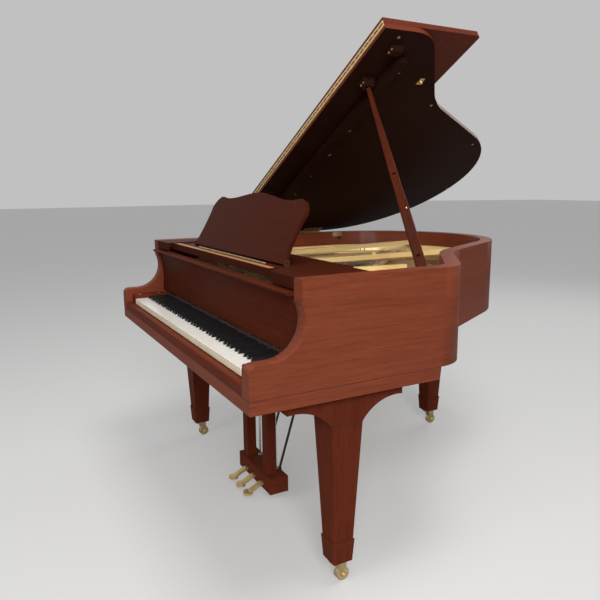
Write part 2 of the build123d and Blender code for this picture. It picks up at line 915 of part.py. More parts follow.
def note_x(note):
    turns, slot = divmod(note + first_slot, 12)
    return first_c + turns * octave + (slot + 0.5) * octave / 12


def is_black(note):
    return (note + first_slot) % 12 in black_slots


def plain_share(note):
    return (note - bass_notes) / (note_count - 1 - bass_notes)


def plain_end(note, extra=0.0):
    share = plain_share(note)
    length = longest_plain * (shortest_plain / longest_plain) ** share + extra
    return note_x(note) - plain_lean * (1 - share) * length, speaking_front + length


def bass_end(note, extra=0.0):
    share = note / bass_notes
    length = bass_longest - bass_step * share + extra
    return note_x(note) + bass_lean * length, speaking_front + length


def wire(x, end, shift=0.0):
    half = string_size / 2
    front_x = x + shift
    back_x = end[0] + shift
    kink = damper_at + damper_length
    polygon(
        [
            (front_x - half, pin_row),
            (front_x + half, pin_row),
            (front_x + half, kink),
            (back_x + half, end[1]),
            (back_x - half, end[1]),
            (front_x - half, kink),
        ]
    )


with BuildPart() as soundboard:
    with BuildSketch(level(soundboard_bottom)):
        case_plan(inner_inset + flush_gap, belly_front)
    extrude(amount=board_thick)
save(soundboard, "soundboard")

with BuildPart() as soundboard_ribs:
    with BuildSketch(level(soundboard_bottom - rib_depth)):
        with Locations(*((0, rib_start + rib_pitch * i) for i in range(rib_count))):
            Rectangle(4 * case_half, rib_width, rotation=rib_angle)
        rib_front = belly_front + belly_thick + flush_gap
        case_plan(inner_inset + inner_wall + flush_gap, rib_front, Mode.INTERSECT)
    extrude(amount=rib_depth)
save(soundboard_ribs, "soundboard_ribs")

with BuildPart() as bridges:
    with BuildSketch(level(plate_seat)):
        curve_notes = range(bass_notes + 1, note_count, bridge_step)
        ends = [plain_end(note) for note in curve_notes]
        front_side = [(x - bridge_half * 0.5, y - bridge_half) for x, y in ends]
        back_side = [(x + bridge_half * 0.5, y + bridge_half) for x, y in reversed(ends)]
        polygon(front_side + back_side)
    extrude(amount=plain_height - plate_seat - seat_gap)
    with BuildSketch(level(plate_seat)):
        first = bass_end(0)
        last = bass_end(bass_notes - 1)
        polygon(
            [
                (first[0] - bridge_overrun, first[1] - bridge_half),
                (last[0] + bridge_overrun, last[1] - bridge_half),
                (last[0] + bridge_overrun, last[1] + bridge_half),
                (first[0] - bridge_overrun, first[1] + bridge_half),
            ]
        )
    extrude(amount=bass_height - plate_seat - seat_gap)
    with BuildSketch(level(plain_height - seat_gap)):
        for note in range(bass_notes, bass_notes + crossing_notes):
            wire(note_x(note), plain_end(note, hitch_run), -unison_gap / 2)
            wire(note_x(note), plain_end(note, hitch_run), unison_gap / 2)
    extrude(amount=string_size + 2 * seat_gap, mode=Mode.SUBTRACT)
save(bridges, "bridges")

with BuildPart(floor) as pin_block:
    corner_box(
        (-inner_face + flush_gap, block_front, plate_top - plate_thick - block_thick),
        (inner_face - flush_gap, block_back, plate_top - plate_thick),
    )
save(pin_block, "pin_block")


def spot(across, along):
    return across * inner_face, along * tail_end


strut_lines = (
    (26, spot(-0.608, 0.914)),
    (46, spot(0.054, 0.892)),
    (66, spot(0.526, 0.484)),
)

with BuildPart() as plate:
    with BuildSketch(level(plate_top - plate_thick)):
        case_plan(inner_inset + flush_gap, plate_front)
        case_plan(inner_inset + plate_band, web_back, Mode.SUBTRACT)
        polygon([spot(-0.936, 0.3), spot(-0.73, 0.356), spot(-0.687, 0.573), spot(-0.936, 0.7)])
        polygon(
            [
                spot(0.936, 0.322),
                spot(0.614, 0.376),
                spot(0.482, 0.42),
                spot(0.482, 0.573),
                spot(0.936, 0.407),
            ]
        )
        polygon([spot(-0.936, 0.662), spot(-0.731, 0.821), spot(-0.585, 0.923), spot(-0.877, 0.878)])
        case_plan(inner_inset + flush_gap, plate_front, Mode.INTERSECT)
    extrude(amount=plate_thick)
    with BuildSketch(level(plate_seat)):
        case_plan(inner_inset + flush_gap, belly_front)
        case_plan(inner_inset + inner_wall, belly_front - belly_thick, Mode.SUBTRACT)
    extrude(amount=plate_top - plate_thick - plate_seat)
    with BuildSketch(level(plate_top)):
        case_plan(inner_inset + flush_gap, flange_start)
        case_plan(inner_inset + flange_wall, flange_start - overcut, Mode.SUBTRACT)
    extrude(amount=flange_top - plate_top)
    for low, high, string_low in (
        (0, bass_notes - 1, bass_height),
        (bass_notes, note_count - 1, plain_height),
    ):
        with BuildSketch(level(plate_top)):
            with Locations(((note_x(low) + note_x(high)) / 2, pin_row + rest_width / 2)):
                Rectangle(note_x(high) - note_x(low) + rest_width, rest_width)
        extrude(amount=string_low - plate_top - flush_gap)
    for note, back in strut_lines:
        x = (note_x(note) + note_x(note - 1)) / 2
        with BuildSketch(level(strut_bottom)):
            polygon(
                [
                    (x - strut_bar / 2, web_back - strut_lap),
                    (x + strut_bar / 2, web_back - strut_lap),
                    (back[0] + strut_bar / 2, back[1]),
                    (back[0] - strut_bar / 2, back[1]),
                ]
            )
        extrude(amount=strut_top - strut_bottom)
        with BuildSketch(level(plate_top)):
            with Locations((x, web_back - strut_lap + strut_foot_depth / 2)):
                Rectangle(strut_foot, strut_foot_depth)
            with Locations((back[0], back[1] - strut_tail_depth / 2)):
                Rectangle(strut_bar, strut_tail_depth)
        extrude(amount=strut_bottom - plate_top)
save(plate, "plate")

with BuildPart() as bass_strings:
    with BuildSketch(level(bass_height)):
        for note in range(bass_notes):
            wire(note_x(note), bass_end(note, hitch_run))
    extrude(amount=string_size)
save(bass_strings, "bass_strings")

with BuildPart() as plain_strings:
    with BuildSketch(level(plain_height)):
        for note in range(bass_notes, note_count):
            wire(note_x(note), plain_end(note, hitch_run), -unison_gap / 2)
            wire(note_x(note), plain_end(note, hitch_run), unison_gap / 2)
    extrude(amount=string_size)
save(plain_strings, "plain_strings")

with BuildPart() as dampers:
    for low, notes in (
        (bass_height + string_size + seat_gap, range(bass_notes)),
        (plain_height + string_size + seat_gap, range(bass_notes, damper_notes)),
    ):
        with BuildSketch(level(low)):
            with Locations(*((note_x(note), damper_at) for note in notes)):
                Rectangle(damper_width, damper_length)
        extrude(amount=damper_height, taper=damper_taper)
save(dampers, "dampers")

# Key frame, keys and action

with BuildPart(floor) as key_frame:
    frame_half = keyboard_half
    frame_top = rim_bottom + frame_thick
    for start, end, top in (
        (seat_gap, head_length, frame_top),
        (balance_at - 3 * balance_rail_width, balance_at + 3 * balance_rail_width, frame_top),
        (key_length - head_length, key_length, key_bottom - rail_gap),
    ):
        corner_box((-frame_half, start, rim_bottom), (frame_half, end, top))
    corner_box(
        (-frame_half, balance_at - balance_rail_width / 2, frame_top),
        (frame_half, balance_at + balance_rail_width / 2, key_bottom - rail_gap),
    )
    for share in slat_shares:
        corner_box(
            (share * frame_half - slat_width / 2, seat_gap, rim_bottom),
            (share * frame_half + slat_width / 2, key_length, frame_top - slat_step),
        )
save(key_frame, "key_frame")

with BuildPart(floor) as action_rails:
    rail_half = keyboard_half + bracket_clear + bracket_thick
    shank_low = hammer_pivot_height - shank_size / 2
    corner_box(
        (-rail_half, hammer_pivot_at - rail_front, shank_low - hammer_rail_depth),
        (rail_half, hammer_pivot_at + rail_back, shank_low - seat_gap),
    )
    corner_box(
        (-rail_half, wippen_pivot_at - wippen_rail_front, wippen_bottom - wippen_rail_depth),
        (rail_half, wippen_pivot_at + rail_back, wippen_bottom - rail_gap),
    )
    for hand in (-1, 1):
        edge = hand * (keyboard_half + bracket_clear)
        out = hand * rail_half
        corner_box(
            (min(edge, out), hammer_pivot_at - rail_front, rim_bottom),
            (max(edge, out), wippen_pivot_at + rail_back, wippen_bottom - rail_gap),
        )
        corner_box(
            (min(edge, out), hammer_pivot_at - rail_front, rim_bottom),
            (max(edge, out), hammer_pivot_at + bracket_reach, hammer_pivot_height - shank_size),
        )
save(action_rails, "action_rails")

white_notes = [note for note in range(note_count) if not is_black(note)]
black_notes = [note for note in range(note_count) if is_black(note)]


def white_plan(place_in_row, note):
    left = -keyboard_half + place_in_row * white_pitch + key_gap
    right = left + white_pitch - 2 * key_gap
    clear = sharp_width / 2 + 2 * key_gap
    tail_left = note_x(note - 1) + clear if note > 0 and is_black(note - 1) else left
    tail_right = note_x(note + 1) - clear if note + 1 < note_count and is_black(note + 1) else right
    stick_left = note_x(note) - stick_width / 2
    stick_right = note_x(note) + stick_width / 2
    polygon(
        [
            (left, 0),
            (right, 0),
            (right, head_length),
            (tail_right, head_length),
            (tail_right, key_visible),
            (stick_right, key_visible),
            (stick_right, key_length),
            (stick_left, key_length),
            (stick_left, key_visible),
            (tail_left, key_visible),
            (tail_left, head_length),
            (left, head_length),
        ]
    )


def capstans(notes):
    with BuildSketch(level(key_top)) as tops:
        with Locations(*((note_x(note), capstan_at) for note in notes)):
            Rectangle(capstan_size, capstan_size)
    extrude(tops.sketch, amount=wippen_bottom - key_top - rail_gap)


for parity, name in ((0, "white_keys_a"), (1, "white_keys_b")):
    with BuildPart() as white_keys:
        with BuildSketch(level(key_bottom)):
            for row, note in enumerate(white_notes):
                if row % 2 == parity:
                    white_plan(row, note)
        extrude(amount=key_top - key_bottom)
        capstans([note for row, note in enumerate(white_notes) if row % 2 == parity])
    save(white_keys, name)

with BuildPart() as black_keys:
    with BuildSketch(level(key_bottom)):
        sharp_front = head_length + sharp_gap
        with Locations(*((note_x(note), (sharp_front + key_length) / 2) for note in black_notes)):
            Rectangle(sharp_width, key_length - sharp_front)
    extrude(amount=key_top - key_bottom)
    with BuildSketch(level(key_top)):
        with Locations(*((note_x(note), (sharp_front + sharp_back) / 2) for note in black_notes)):
            Rectangle(sharp_width, sharp_back - sharp_front)
    extrude(amount=sharp_rise, taper=sharp_taper)
    capstans(black_notes)
save(black_keys, "black_keys")

note_groups = (
    ("a", white_notes[0::2]),
    ("b", white_notes[1::2]),
    ("c", black_notes),
)

for letter, notes in note_groups:
    with BuildPart() as hammers:
        shank_start = hammer_pivot_at - butt_length
        with BuildSketch(level(shank_low)):
            with Locations(*((note_x(note), (shank_start + hammer_back) / 2) for note in notes)):
                Rectangle(shank_width, hammer_back - shank_start)
        extrude(amount=shank_size)
        with BuildSketch(level(shank_low + shank_size)):
            with Locations(*((note_x(note), hammer_back - hammer_depth / 2) for note in notes)):
                Rectangle(hammer_width, hammer_depth)
        extrude(amount=hammer_rise, taper=hammer_taper)
    save(hammers, f"hammers_{letter}")

    with BuildPart() as wippens:
        with BuildSketch(level(wippen_bottom)):
            wippen_end = wippen_pivot_at + wippen_tail
            with Locations(*((note_x(note), (wippen_front + wippen_end) / 2) for note in notes)):
                Rectangle(wippen_width, wippen_end - wippen_front)
        extrude(amount=wippen_thick)
    save(wippens, f"wippens_{letter}")

# Legs and casters


def make_leg(x, at, top, half, name):
    with BuildPart() as leg:
        with BuildSketch(level(ankle_bottom)):
            with Locations((x, at)):
                Rectangle(ankle_low_size, ankle_low_size)
        with BuildSketch(level(ankle_top)):
            with Locations((x, at)):
                Rectangle(ankle_top_size, ankle_top_size)
        loft()
        with BuildSketch(level(ankle_top)):
            with Locations((x, at)):
                Rectangle(leg_low_size, leg_low_size)
        with BuildSketch(level(leg_neck)):
            with Locations((x, at)):
                Rectangle(leg_top_size, leg_top_size)
        loft()
        with BuildSketch(side(x)):
            with BuildLine():
                rise = top - keybed_bottom
                foot = Line((at, leg_neck), (at + leg_top_size / 2, leg_neck))
                scoop = ThreePointArc(
                    foot @ 1,
                    (
                        at + leg_top_size / 2 + scoop_out * half,
                        leg_neck + scoop_up * (bracket_end - leg_neck),
                    ),
                    (at + half, bracket_end + rise),
                )
                Polyline(scoop @ 1, (at + half, top), (at, top), foot @ 0)
            make_face()
            mirror(about=Plane(origin=(at, 0, 0), z_dir=(1, 0, 0)))
        extrude(amount=leg_top_size / 2, both=True)
        with BuildSketch(level(ankle_bottom)):
            with Locations((x, at)):
                Circle(stem_radius + running_gap)
        extrude(amount=stem_length + seat_gap, mode=Mode.SUBTRACT)
    save(leg, f"{name}_leg")


def make_caster(x, at, name):
    fork_half = wheel_width / 2 + fork_gap
    plate_low = ankle_bottom - seat_gap - fork_plate
    axle_at = at + wheel_trail
    with BuildPart() as fork:
        with BuildSketch(level(plate_low)):
            with Locations((x, at)):
                Circle(ankle_low_size / 2 - fork_margin)
        extrude(amount=fork_plate)
        with BuildSketch(level(plate_low + fork_plate)):
            with Locations((x, at)):
                Circle(stem_radius)
        extrude(amount=stem_length)
        with BuildSketch(side(x)):
            with BuildLine():
                Polyline(
                    (at - wheel_radius / 2, plate_low),
                    (axle_at - axle_radius * 2, wheel_radius),
                    (axle_at + axle_radius * 2, wheel_radius),
                    (axle_at + axle_radius * 2, plate_low),
                    close=True,
                )
            make_face()
            with Locations((axle_at, wheel_radius)):
                Circle(axle_radius * 2)
        extrude(amount=fork_half + fork_wall, both=True)
        with BuildSketch(side(x)):
            with Locations((axle_at, wheel_radius / 2)):
                Rectangle(4 * wheel_radius, 2 * (plate_low - fork_crown) - wheel_radius)
        extrude(amount=fork_half, both=True, mode=Mode.SUBTRACT)
        with BuildSketch(side(x)):
            with Locations((axle_at, wheel_radius)):
                Circle(axle_radius)
        extrude(amount=fork_half + fork_wall, both=True)
    save(fork, f"{name}_caster_fork")
    with BuildPart() as wheel:
        with BuildSketch(side(x)):
            with Locations((axle_at, wheel_radius)):
                Circle(wheel_radius)
                Circle(axle_radius + running_gap, mode=Mode.SUBTRACT)
        extrude(amount=wheel_width / 2, both=True)
    save(wheel, f"{name}_caster_wheel")


for x, at, top, half, name in (
    (-leg_half_spread, leg_at, keybed_bottom, bracket_half, "bass"),
    (leg_half_spread, leg_at, keybed_bottom, bracket_half, "treble"),
    (rear_leg_x, rear_leg_at, rim_bottom, tail_bracket_half, "tail"),
):
    make_leg(x, at, top, half, name)
    make_caster(x, at, name)

# Lyre, stays, pedals and rods

lyre_back = lyre_front + lyre_depth
post_back = lyre_front + post_set_back + post_depth
lever_high = lever_low + lever_thick
pedal_pin_height = lever_low + lever_thick / 2
pedal_places = [(-pedal_pitch, "left"), (0.0, "middle"), (pedal_pitch, "right")]

with BuildPart(floor) as lyre:
    corner_box(
        (-lyre_cap_half, lyre_front, keybed_bottom - lyre_cap),
        (lyre_cap_half, lyre_front + lyre_cap_depth, keybed_bottom),
    )
    for hand in (-1, 1):
        corner_box(
            (hand * post_x - post_width / 2, lyre_front + post_set_back, pedal_box_high),
            (hand * post_x + post_width / 2, post_back, keybed_bottom - lyre_cap),
        )
save(lyre, "lyre")

with BuildPart(floor) as pedal_box:
    corner_box(
        (-pedal_box_half, lyre_front, pedal_box_low),
        (pedal_box_half, lyre_back, pedal_box_high),
    )
    corner_box(
        (box_wall - pedal_box_half, lyre_front + box_wall, pedal_box_low + box_floor),
        (pedal_box_half - box_wall, lyre_back - box_wall, pedal_box_high - box_wall),
        Mode.SUBTRACT,
    )
    bearing_half = lever_width / 2 + seat_gap
    for x, hand in pedal_places:
        corner_box(
            (x - bearing_half - slot_play, lyre_front - overcut, pedal_box_low + box_floor),
            (x + bearing_half + slot_play, lyre_front + box_wall + overcut, lever_high + slot_play),
            Mode.SUBTRACT,
        )
        for reach in (-1, 1):
            near = x + reach * bearing_half
            far = x + reach * (bearing_half + box_wall)
            corner_box(
                (min(near, far), pedal_pivot_at - 2 * pedal_pin_radius, pedal_box_low + box_floor),
                (max(near, far), pedal_pivot_at + 2 * pedal_pin_radius, lever_high + slot_play),
            )
        with BuildSketch(side(x)):
            with Locations((pedal_pivot_at, pedal_pin_height)):
                Circle(pedal_pin_radius + running_gap)
        extrude(amount=bearing_half + box_wall, both=True, mode=Mode.SUBTRACT)
        with Locations((x, rod_at, pedal_box_high)):
            passage = 2 * (rod_radius + rod_play)
            Box(passage, passage, 4 * box_wall, mode=Mode.SUBTRACT)
save(pedal_box, "pedal_box")

with BuildPart() as lyre_stays:
    for hand in (-1, 1):
        low = place(hand * stay_x, lyre_back + stay_foot / 2, pedal_box_high - stay_foot)
        high = place(hand * stay_x, stay_back, keybed_bottom - stay_foot / 2)
        with BuildSketch(Plane(low, z_dir=high - low)):
            Circle(stay_radius)
        extrude(amount=(high - low).length)
        with Locations(low, high):
            Box(stay_foot, stay_foot, stay_foot)
save(lyre_stays, "lyre_stays")

for x, hand in pedal_places:
    with BuildPart() as pedal:
        paddle_at = pedal_tip_at + paddle_radius
        with BuildSketch(level(paddle_low)):
            with Locations((x, paddle_at)):
                Circle(paddle_radius)
        extrude(amount=paddle_thick)
        with BuildSketch(side(x)):
            polygon(
                [
                    (paddle_at, paddle_low),
                    (lyre_front - lever_bend, lever_low),
                    (lever_end, lever_low),
                    (lever_end, lever_high),
                    (lyre_front - lever_bend, lever_high),
                    (paddle_at, paddle_low + paddle_thick),
                ]
            )
        extrude(amount=lever_width / 2, both=True)
        with BuildSketch(side(x)):
            with Locations((pedal_pivot_at, pedal_pin_height)):
                Circle(pedal_pin_radius)
        extrude(amount=lever_width / 2 + seat_gap + box_wall, both=True)
    save(pedal, f"{hand}_pedal")
    with BuildPart(floor) as rod:
        rod_low = lever_high + seat_gap
        rod_high = keybed_bottom + rod_rise_into_bed
        with Locations((x, rod_at, (rod_low + rod_high) / 2)):
            Cylinder(rod_radius, rod_high - rod_low)
    save(rod, f"{hand}_pedal_rod")
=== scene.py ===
import json
import math
import bpy
import bmesh
from mathutils import Matrix, Vector


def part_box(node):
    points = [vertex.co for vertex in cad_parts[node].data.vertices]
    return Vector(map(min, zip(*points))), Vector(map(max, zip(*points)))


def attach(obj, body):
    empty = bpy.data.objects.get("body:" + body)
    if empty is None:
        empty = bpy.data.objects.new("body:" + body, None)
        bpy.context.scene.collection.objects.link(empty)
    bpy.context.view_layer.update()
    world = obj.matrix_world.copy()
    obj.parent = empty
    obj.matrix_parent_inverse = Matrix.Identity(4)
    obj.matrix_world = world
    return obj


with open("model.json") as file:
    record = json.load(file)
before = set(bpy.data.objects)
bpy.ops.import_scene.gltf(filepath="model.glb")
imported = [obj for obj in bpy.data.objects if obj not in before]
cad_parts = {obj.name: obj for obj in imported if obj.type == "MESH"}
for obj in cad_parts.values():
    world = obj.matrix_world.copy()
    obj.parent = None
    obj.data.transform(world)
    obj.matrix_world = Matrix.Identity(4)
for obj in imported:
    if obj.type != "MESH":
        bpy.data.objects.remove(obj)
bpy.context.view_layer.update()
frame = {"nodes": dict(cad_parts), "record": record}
nodes = frame["nodes"]
scene = bpy.context.scene
scene.view_settings.view_transform = "Standard"
print("frame loaded:", len(nodes), "nodes")


# shader maths: a wrapped socket, so that 1 - mask adds a Math node
class Wire:
    def __init__(self, shader, socket):
        self.shader = shader
        self.socket = socket

    def math(self, operation, a, b):
        return self.shader.node("ShaderNodeMath", {"operation": operation}, {0: a, 1: b})

    def __add__(self, other):
        return self.math("ADD", self, other)

    __radd__ = __add__

    def __sub__(self, other):
        return self.math("SUBTRACT", self, other)

    def __rsub__(self, other):
        return self.math("SUBTRACT", other, self)

    def __mul__(self, other):
        return self.math("MULTIPLY", self, other)

    __rmul__ = __mul__


# the nodes of one finish, or of the studio round the piano
class Shader:
    def __init__(self, name, store=bpy.data.materials, surface="Principled BSDF"):
        self.made = store.new(name)
        self.made.use_nodes = True
        self.tree = self.made.node_tree
        self.surface = self.tree.nodes[surface]

    def node(self, kind, settings=None, inputs=None, output=0):
        made = self.tree.nodes.new(kind)
        for key, value in (settings or {}).items():
            if key == "stops":
                for index, (place, colour) in enumerate(value):
                    if index < 2:
                        stop = made.color_ramp.elements[index]
                        stop.position = place
                    else:
                        stop = made.color_ramp.elements.new(place)
                    stop.color = (*colour, 1.0)
            else:
                setattr(made, key, value)
        for key, value in (inputs or {}).items():
            self.feed(made.inputs[key], value)
        return Wire(self, made.outputs[output])

    def feed(self, socket, value):
        if isinstance(value, Wire):
            self.tree.links.new(value.socket, socket)
        else:
            socket.default_value = value

    def dress(self, **values):
        for key, value in values.items():
            self.feed(self.surface.inputs[key.replace("_", " ")], value)
        return self.made

    def coords(self, scale=(1.0, 1.0, 1.0)):
        place = self.node("ShaderNodeTexCoord", output="Object")
        return self.node("ShaderNodeMapping", None, {"Vector": place, "Scale": scale})

    def noise(self, vector, scale, detail=4.0, rough=0.55, distortion=0.0):
        inputs = {"Vector": vector, "Scale": scale, "Detail": detail}
        inputs.update({"Roughness": rough, "Distortion": distortion})
        return self.node("ShaderNodeTexNoise", None, inputs)

    def ramp(self, value, stops):
        return self.node("ShaderNodeValToRGB", {"stops": stops}, {"Fac": value})

    def above(self, value, low, high):
        inputs = {"Value": value, "From Min": low, "From Max": high}
        return self.node("ShaderNodeMapRange", None, inputs)

    def mix(self, factor, first, second):
        inputs = {0: factor, 6: first, 7: second}
        return self.node("ShaderNodeMix", {"data_type": "RGBA"}, inputs, 2)

    def bump(self, height, strength, distance):
        inputs = {"Height": height, "Strength": strength, "Distance": distance}
        return self.node("ShaderNodeBump", None, inputs)


def shaded(colour, shade):
    return tuple(part * shade for part in colour)


# wood: broad figure and fine streaks along the grain, short dark pores over them
satin = {
    "figure": {"scale": 0.5, "detail": 3.0, "rough": 0.5, "distortion": 0.7},
    "streaks": {"scale": 3.4, "detail": 5.0, "rough": 0.62, "distortion": 0.25},
    "pores": {"scale": 11.0, "detail": 2.0, "rough": 0.5},
    "figureShare": 0.32,
    "toneEdge": (0.36, 0.64),
    "toneMiddle": 0.5,
    "poreEdge": (0.60, 0.72),
    "poreDepth": 0.45,
    "poreShade": 0.45,
    "contrast": (0.80, 1.18),
    "roughness": 0.40,
    "roughSpread": 0.14,
    "specular": 0.05,
    "coat": 0.05,
    "coatRough": 0.16,
    "bump": 0.05,
    "bumpDepth": 0.0006,
}
quietSatin = dict(satin, specular=0.02, coat=0.0)
bareWood = dict(satin, roughness=0.62, coat=0.0, poreDepth=0.3, bump=0.12)
varnished = dict(satin, roughness=0.42, coat=0.08, poreDepth=0.2)


def woodFinish(name, grain, colour, look=satin):
    shader = Shader(name)
    along = shader.coords(grain)
    figure = shader.noise(along, **look["figure"])
    streaks = shader.noise(along, **look["streaks"])
    pores = shader.noise(along, **look["pores"])
    tone = figure * look["figureShare"] + streaks * (1 - look["figureShare"])
    dark, light = (shaded(colour, part) for part in look["contrast"])
    low, high = look["toneEdge"]
    wood = shader.ramp(tone, [(low, dark), (high, light), (look["toneMiddle"], colour)])
    pit = shader.above(pores, *look["poreEdge"])
    stained = shader.mix(pit * look["poreDepth"], wood, (*shaded(colour, look["poreShade"]), 1.0))
    return shader.dress(
        Base_Color=stained,
        Roughness=streaks * look["roughSpread"] + (look["roughness"] - look["roughSpread"] / 2),
        Specular_IOR_Level=look["specular"],
        Coat_Weight=look["coat"],
        Coat_Roughness=look["coatRough"],
        Normal=shader.bump(1 - pit, look["bump"], look["bumpDepth"]),
    )


grainAlongX = (2.6, 58.0, 58.0)
grainAlongY = (58.0, 2.6, 58.0)
grainUp = (56.0, 56.0, 2.4)
grainRound = (2.6, 2.6, 60.0)
grainSpruce = (70.0, 34.0, 40.0)
mahogany = (0.168, 0.033, 0.0145)
paleMahogany = (0.182, 0.043, 0.0200)

rimWood = woodFinish("rimWood", grainRound, paleMahogany)
# the case is one mahogany: the copies below are darkened as painted shade, for the shade that
# falls on each part
bedWoodPaintedShade = woodFinish("bedWoodPaintedShade", grainAlongX, shaded(mahogany, 0.70), quietSatin)
shelfWoodPaintedShade = woodFinish("shelfWoodPaintedShade", grainAlongX, shaded(mahogany, 0.30), quietSatin)
lidWoodPaintedShade = woodFinish("lidWoodPaintedShade", grainAlongY, shaded(mahogany, 0.75))
# the lid's underside and the prop cups: near-black wood as painted shade
underWoodPaintedShade = woodFinish("underWoodPaintedShade", grainAlongY, (0.024, 0.0075, 0.005), quietSatin)
flapWoodPaintedShade = woodFinish("flapWoodPaintedShade", grainAlongX, shaded(mahogany, 0.62))
deskWoodPaintedShade = woodFinish("deskWoodPaintedShade", grainAlongX, shaded(mahogany, 0.42), quietSatin)
legWoodPaintedShade = woodFinish("legWoodPaintedShade", grainUp, shaded(mahogany, 0.66), quietSatin)
propWoodPaintedShade = woodFinish("propWoodPaintedShade", grainUp, shaded(mahogany, 0.42), quietSatin)
ledgeWood = woodFinish("ledgeWood", grainAlongX, (0.40, 0.185, 0.075))
plainWood = woodFinish("plainWood", grainAlongX, (0.47, 0.31, 0.17), bareWood)
boardWood = woodFinish("boardWood", grainSpruce, (0.56, 0.37, 0.18), varnished)


# metal: a cloudy stain, and fine scratches that only change the gloss
metalLook = {
    "cloud": {"scale": 60.0, "detail": 3.0},
    "cloudEdge": (0.3, 0.65),
    "scratchGrain": (400.0, 400.0, 30.0),
    "scratches": {"scale": 1.0, "detail": 2.0},
    "scratchShare": 0.06,
}


def metalFinish(name, colour, roughness, metallic=1.0, spread=0.12, stain=0.82):
    shader = Shader(name)
    cloud = shader.noise(shader.coords(), **metalLook["cloud"])
    scratches = shader.noise(shader.coords(metalLook["scratchGrain"]), **metalLook["scratches"])
    low, high = metalLook["cloudEdge"]
    gloss = scratches * metalLook["scratchShare"]
    return shader.dress(
        Base_Color=shader.ramp(cloud, [(low, shaded(colour, stain)), (high, colour)]),
        Metallic=metallic,
        Roughness=cloud * spread + gloss + (roughness - spread / 2),
    )


brass = metalFinish("brass", (0.84, 0.61, 0.27), roughness=0.28, metallic=0.8)
agedBrass = metalFinish(
    "agedBrass", (0.62, 0.48, 0.25), roughness=0.38, metallic=0.7, spread=0.2, stain=0.6
)
hingeBrass = metalFinish(
    "hingeBrass", (0.80, 0.55, 0.26), roughness=0.36, metallic=0.3, spread=0.16, stain=0.75
)
lidBrass = metalFinish(
    "lidBrass", (0.34, 0.23, 0.10), roughness=0.38, metallic=0.5, spread=0.16, stain=0.7
)
steel = metalFinish("steel", (0.74, 0.73, 0.70), roughness=0.25)
copper = metalFinish("copper", (0.64, 0.42, 0.21), roughness=0.36)
castRail = metalFinish("castRail", (0.52, 0.52, 0.50), roughness=0.45)
# black iron parts; also the black of the flange slots, which is painted shade
blackIronAndSlotShade = metalFinish("blackIronAndSlotShade", (0.018, 0.017, 0.016), roughness=0.42, metallic=0.0)


# the cast plate: gold lacquer over a sandy casting
plateLook = {
    "light": (0.95, 0.71, 0.32),
    "dark": (0.86, 0.61, 0.25),
    "grit": {"scale": 160.0, "detail": 3.0},
    "flow": {"scale": 9.0, "detail": 2.0},
    "gritShare": 0.6,
    "flowShare": 0.4,
    "toneEdge": (0.35, 0.62),
    "metallic": 0.1,
    "roughness": 0.26,
    "roughSpread": 0.16,
    "bump": 0.1,
    "bumpDepth": 0.0006,
}


def plateFinish(look):
    shader = Shader("plateGold")
    grit = shader.noise(shader.coords(), **look["grit"])
    flow = shader.noise(shader.coords(), **look["flow"])
    tone = grit * look["gritShare"] + flow * look["flowShare"]
    low, high = look["toneEdge"]
    return shader.dress(
        Base_Color=shader.ramp(tone, [(low, look["dark"]), (high, look["light"])]),
        Metallic=look["metallic"],
        Roughness=grit * look["roughSpread"] + look["roughness"],
        Normal=shader.bump(grit, look["bump"], look["bumpDepth"]),
    )


# keys and lacquer: an almost even colour
glossLook = {
    "cloud": {"scale": 45.0, "detail": 2.0},
    "cloudEdge": (0.3, 0.7),
    "shade": 0.93,
    "roughSpread": 0.08,
    "coatRough": 0.08,
}


def glossFinish(name, colour, roughness=0.16, coat=0.3, specular=0.5):
    shader = Shader(name)
    cloud = shader.noise(shader.coords(), **glossLook["cloud"])
    low, high = glossLook["cloudEdge"]
    return shader.dress(
        Base_Color=shader.ramp(cloud, [(low, shaded(colour, glossLook["shade"])), (high, colour)]),
        Roughness=cloud * glossLook["roughSpread"] + roughness,
        Specular_IOR_Level=specular,
        Coat_Weight=coat,
        Coat_Roughness=glossLook["coatRough"],
    )


# felt and rubber: fine fibres
feltLook = {
    "fibre": {"scale": 900.0, "detail": 3.0, "rough": 0.7},
    "fibreEdge": (0.3, 0.7),
    "shade": 0.8,
    "bump": 0.3,
    "bumpDepth": 0.0004,
}


def feltFinish(name, colour, roughness=0.95):
    shader = Shader(name)
    fibre = shader.noise(shader.coords(), **feltLook["fibre"])
    low, high = feltLook["fibreEdge"]
    return shader.dress(
        Base_Color=shader.ramp(fibre, [(low, shaded(colour, feltLook["shade"])), (high, colour)]),
        Roughness=roughness,
        Normal=shader.bump(fibre, feltLook["bump"], feltLook["bumpDepth"]),
    )


plateGold = plateFinish(plateLook)
keyWhite = glossFinish("keyWhite", (0.90, 0.86, 0.79))
keyCream = glossFinish("keyCream", (0.94, 0.83, 0.60), roughness=0.3, coat=0.1)
keyBlack = glossFinish(
    "keyBlack", (0.010, 0.010, 0.011), roughness=0.22, coat=0.05, specular=0.22
)
damperBlack = glossFinish("damperBlack", (0.012, 0.012, 0.012), roughness=0.35, coat=0.1)
darkBronze = glossFinish(
    "darkBronze", (0.060, 0.024, 0.014), roughness=0.5, coat=0.0, specular=0.1
)
whiteFelt = feltFinish("whiteFelt", (0.74, 0.70, 0.60))
redFelt = feltFinish("redFelt", (0.17, 0.016, 0.014))
# dark wine felt; also the colour of the painted shadow seams
wineFeltAndShadowSeams = feltFinish("wineFeltAndShadowSeams", (0.030, 0.006, 0.006))
blackRubber = feltFinish("blackRubber", (0.03, 0.027, 0.025), roughness=0.5)
print("finishes made")
